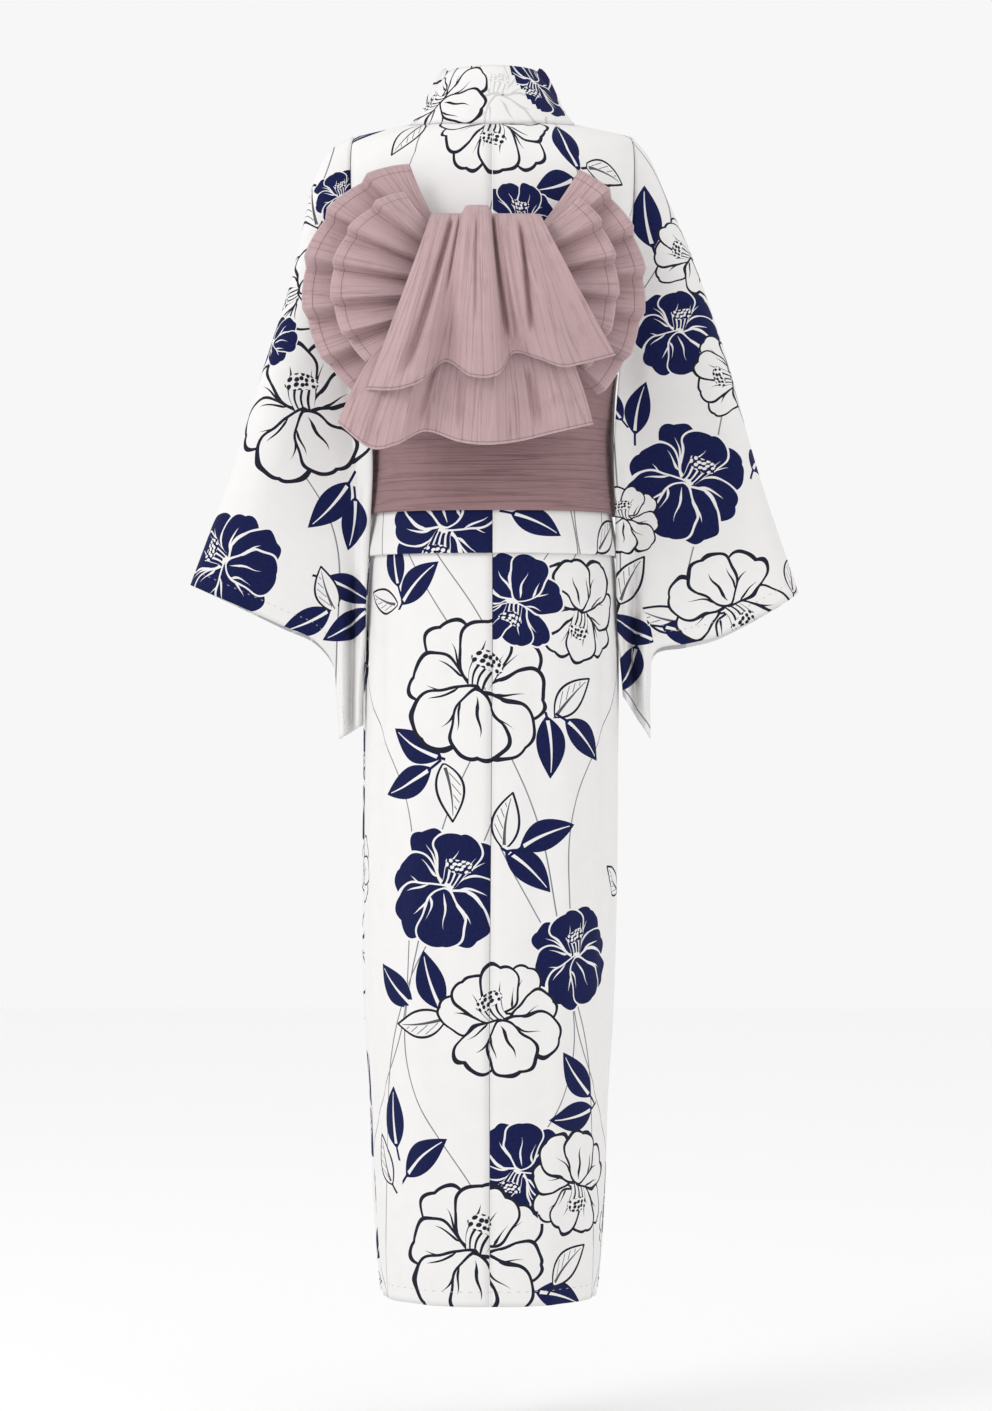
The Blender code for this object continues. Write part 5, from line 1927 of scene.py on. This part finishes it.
def cotton_material(name, shown):
    """The printed cotton, or its reverse, where only a share of the print is shown."""
    finish, graph = new_finish(name)
    flat = graph.uv("cloth")
    ground = graph.mix_colour(graph.noise(flat, CLOUD_SCALE, 4.0), GROUND, GROUND_DEEP)
    navy = graph.mix_colour(graph.noise(flat, NAVY_SCALE), NAVY, NAVY_WORN)
    colour = graph.mix_colour(stems(graph, flat), ground, STEM_GREY)
    layers = [leaf(graph, "leaf_a"), leaf(graph, "leaf_b"),
              flower(graph, "flower_a", OPEN_FLOWER, (0.03, 0.04), 76),
              flower(graph, "flower_b", SIDE_FLOWER, (0.00, 0.02), 96)]
    for ink, cover, dark in layers:
        fill = graph.mix_colour(dark, ground, navy)
        pen = graph.mix_colour(dark, OUTLINE, ground)
        colour = graph.mix_colour(ink, graph.mix_colour(cover, colour, fill), pen)
    inward, beside = graph.parts(graph.uv("hem"))
    dashes = beside.math("PINGPONG", STITCH_STEP) < STITCH_HALF_LENGTH
    stitch = (abs(inward - HEM_IN) < STITCH_HALF_WIDTH) * dashes
    colour = graph.mix_colour(stitch * 0.6, colour, STITCH_GREY)
    if shown < 1.0:
        colour = graph.mix_colour(shown, REVERSE_GROUND, colour)
    u, v = graph.parts(flat)
    slubs = (graph.noise(graph.pair(u * SLUB_LENGTH, v), SLUB_SCALE)
             + graph.noise(graph.pair(u, v * SLUB_LENGTH), SLUB_SCALE))
    where = graph.make("ShaderNodeTexCoord", {}, (), "Object")
    creases = graph.make("ShaderNodeTexNoise", {}, {
        "Vector": where, "Scale": CREASE_SCALE, "Detail": 3.0, "Roughness": 0.45})
    bend = soft_bump(graph, creases, 0.34, 0.007)
    bend = soft_bump(graph, (inward < HEM_IN) * 0.6 - stitch * 1.0, 0.5, 0.0008, bend)
    bend = soft_bump(graph, slubs, 0.12, 0.0004, bend)
    bend = soft_bump(graph, woven(u, v, THREADS), 0.10, 0.0001, bend)
    dress(finish, colour, bend, 0.85, 0.15, 0.02, 0.6)
    return finish


cotton = cotton_material("printed_cotton", 1.0)
reverse = cotton_material("cotton_reverse", REVERSE_SHOWN)
for piece, _, _, _ in prints_of.values():
    piece.data.materials.append(cotton)
    piece.data.materials.append(reverse)
print("cotton nodes", len(cotton.node_tree.nodes))


# %% [markdown]
# ## Crinkled obi cloth
# The obi's cloth has fine crinkles along its length. They run along the fans and tails, and
# round the waist on the band. A noise stretched along the cloth gives them as bump, and a thin
# dark line of painted shade wherever it crosses its middle value, where the bump makes a
# crease. The fans have a stitched hem a centimetre inside their edge, and the tails a narrow
# rolled one. The hem's dark line is its stitch together with painted shade of its fold.

# %% The obi cloth
BOW_LIGHT = (0.500, 0.345, 0.355)
# Each deep tone is the colour of painted shade in the creases and of darker random tone.
BOW_SHADE_AND_DEEP = (0.265, 0.155, 0.165)
BAND_LIGHT = (0.300, 0.180, 0.186)
BAND_SHADE_AND_DEEP = (0.150, 0.080, 0.088)
WING_HEM = 0.0115
TAIL_HEM = 0.0030
# The hem line's colour is its stitch together with painted shade of the hem's fold.
STITCH_AND_FOLD_SHADE = (0.19, 0.105, 0.118)
EDGE_COLOUR = (0.62, 0.46, 0.48)
CREASE_STRETCH = 0.030
CREASE_SHARPNESS = 26.0
FINE_CREASES = 3.1
SWELL_STRETCH = 0.10
SWELL_SCALE = 0.6
OBI_CLOUD_SCALE = 60.0
OBI_THREADS = 5200.0
ROLL = 0.0016


def creases_at(graph, across, along, scale):
    """Thin creases along the cloth, where a stretched noise crosses its middle, for bump and
    painted shade.
    """
    level = graph.noise(graph.pair(across, along * CREASE_STRETCH), scale, 2.0)
    return (1.0 - CREASE_SHARPNESS * abs(level - 0.5)).max(0.0)


def obi_material(name, along_u, hem_in, light_tone, shade_and_deep_tone, scale, depth):
    """The crinkled cloth, whose creases run along u or v, with a hem or without one."""
    finish, graph = new_finish(name)
    flat = graph.uv("cloth")
    u, v = graph.parts(flat)
    across, along = (v, u) if along_u else (u, v)
    strong = creases_at(graph, across, along, scale)
    fine = creases_at(graph, across, along, scale * FINE_CREASES)
    swell = graph.noise(graph.pair(across, along * SWELL_STRETCH), scale * SWELL_SCALE, 1.0)
    cloudy = graph.noise(flat, OBI_CLOUD_SCALE, 3.0)
    # Painted shade in the crease lines, plus tone that varies at random with the swell and
    # clouds.
    shade = strong * 0.42 + fine * 0.20 + (swell - 0.5) * 0.35 + (cloudy - 0.5) * 0.30
    colour = graph.mix_colour(shade.max(0.0).min(1.0), light_tone, shade_and_deep_tone)
    bend = soft_bump(graph, swell - 0.45 * strong - 0.25 * fine, 0.60, depth)
    bend = soft_bump(graph, woven(u, v, OBI_THREADS), 0.12, 0.0001, bend)
    if hem_in:
        inward, _ = graph.parts(graph.uv("hem"))
        stitch = abs(inward - hem_in) < STITCH_HALF_WIDTH
        rolled = inward < ROLL
        # The hem line is stitch and painted shade of the hem's fold, darkened as one solid line.
        colour = graph.mix_colour(stitch * 0.50, colour, STITCH_AND_FOLD_SHADE)
        colour = graph.mix_colour(rolled * 0.55, colour, EDGE_COLOUR)
        bend = soft_bump(graph, stitch * -1.0 + (inward < hem_in) * 0.6, 0.6, 0.0010, bend)
    dress(finish, colour, bend, 0.62, 0.30, 0.10, 0.5)
    return finish


band_cloth = obi_material("obi_band_cloth", True, 0.0, BAND_LIGHT, BAND_SHADE_AND_DEEP, 62.0, 0.0022)
wing_cloth = obi_material("obi_wing_cloth", False, WING_HEM, BOW_LIGHT, BOW_SHADE_AND_DEEP, 115.0, 0.0011)
tail_cloth = obi_material("obi_tail_cloth", False, TAIL_HEM, BOW_LIGHT, BOW_SHADE_AND_DEEP, 100.0, 0.0011)
for name, (piece, _) in tied.items():
    kind = name.split("_")[0]
    finish = {"wing": wing_cloth, "tail": tail_cloth}.get(kind, band_cloth)
    piece.data.materials.append(finish)
    piece.data.materials.append(finish)
print("pieces of obi cloth:", len(tied))


# %% [markdown]
# ## The studio
# The photograph has a near-white ground and almost no shadows. A pale floor under a white
# world gives the same even light, and one soft key and a weak fill keep the folds readable.

# %% Floor and lights
FLOOR_Z = -1.42
FLOOR_HALF_SIZE = 6.0
PAPER = (0.97, 0.97, 0.97, 1)
WORLD_STRENGTH = 0.93
LIGHT_AIM = (0, 0, -0.6)
floor_mesh = bpy.data.meshes.new("floor")
sweep = bmesh.new()
bmesh.ops.create_grid(sweep, x_segments=1, y_segments=1, size=FLOOR_HALF_SIZE)
sweep.to_mesh(floor_mesh)
sweep.free()
floor = bpy.data.objects.new("floor", floor_mesh)
bpy.context.scene.collection.objects.link(floor)
floor.location = (0, 0, FLOOR_Z)
paper = bpy.data.materials.new("paper")
paper.use_nodes = True
paper_shader = paper.node_tree.nodes["Principled BSDF"]
paper_shader.inputs["Base Color"].default_value = PAPER
paper_shader.inputs["Roughness"].default_value = 0.9
floor.data.materials.append(paper)
world = bpy.data.worlds.new("studio")
bpy.context.scene.world = world
world.use_nodes = True
world.node_tree.nodes["Background"].inputs["Color"].default_value = (1, 1, 1, 1)
world.node_tree.nodes["Background"].inputs["Strength"].default_value = WORLD_STRENGTH
bpy.context.scene.view_settings.view_transform = "Standard"


def light(name, place, size, power):
    data = bpy.data.lights.new(name, "AREA")
    data.size = size
    data.energy = power
    lamp = bpy.data.objects.new(name, data)
    lamp.location = place
    aim = Vector(LIGHT_AIM) - Vector(place)
    lamp.rotation_euler = aim.to_track_quat("-Z", "Y").to_euler()
    bpy.context.scene.collection.objects.link(lamp)
    print(name, "light", power, "W")


light("key", (2.6, 1.9, 1.5), 1.3, 34)
light("fill", (-2.4, 2.4, 0.4), 2.2, 6)
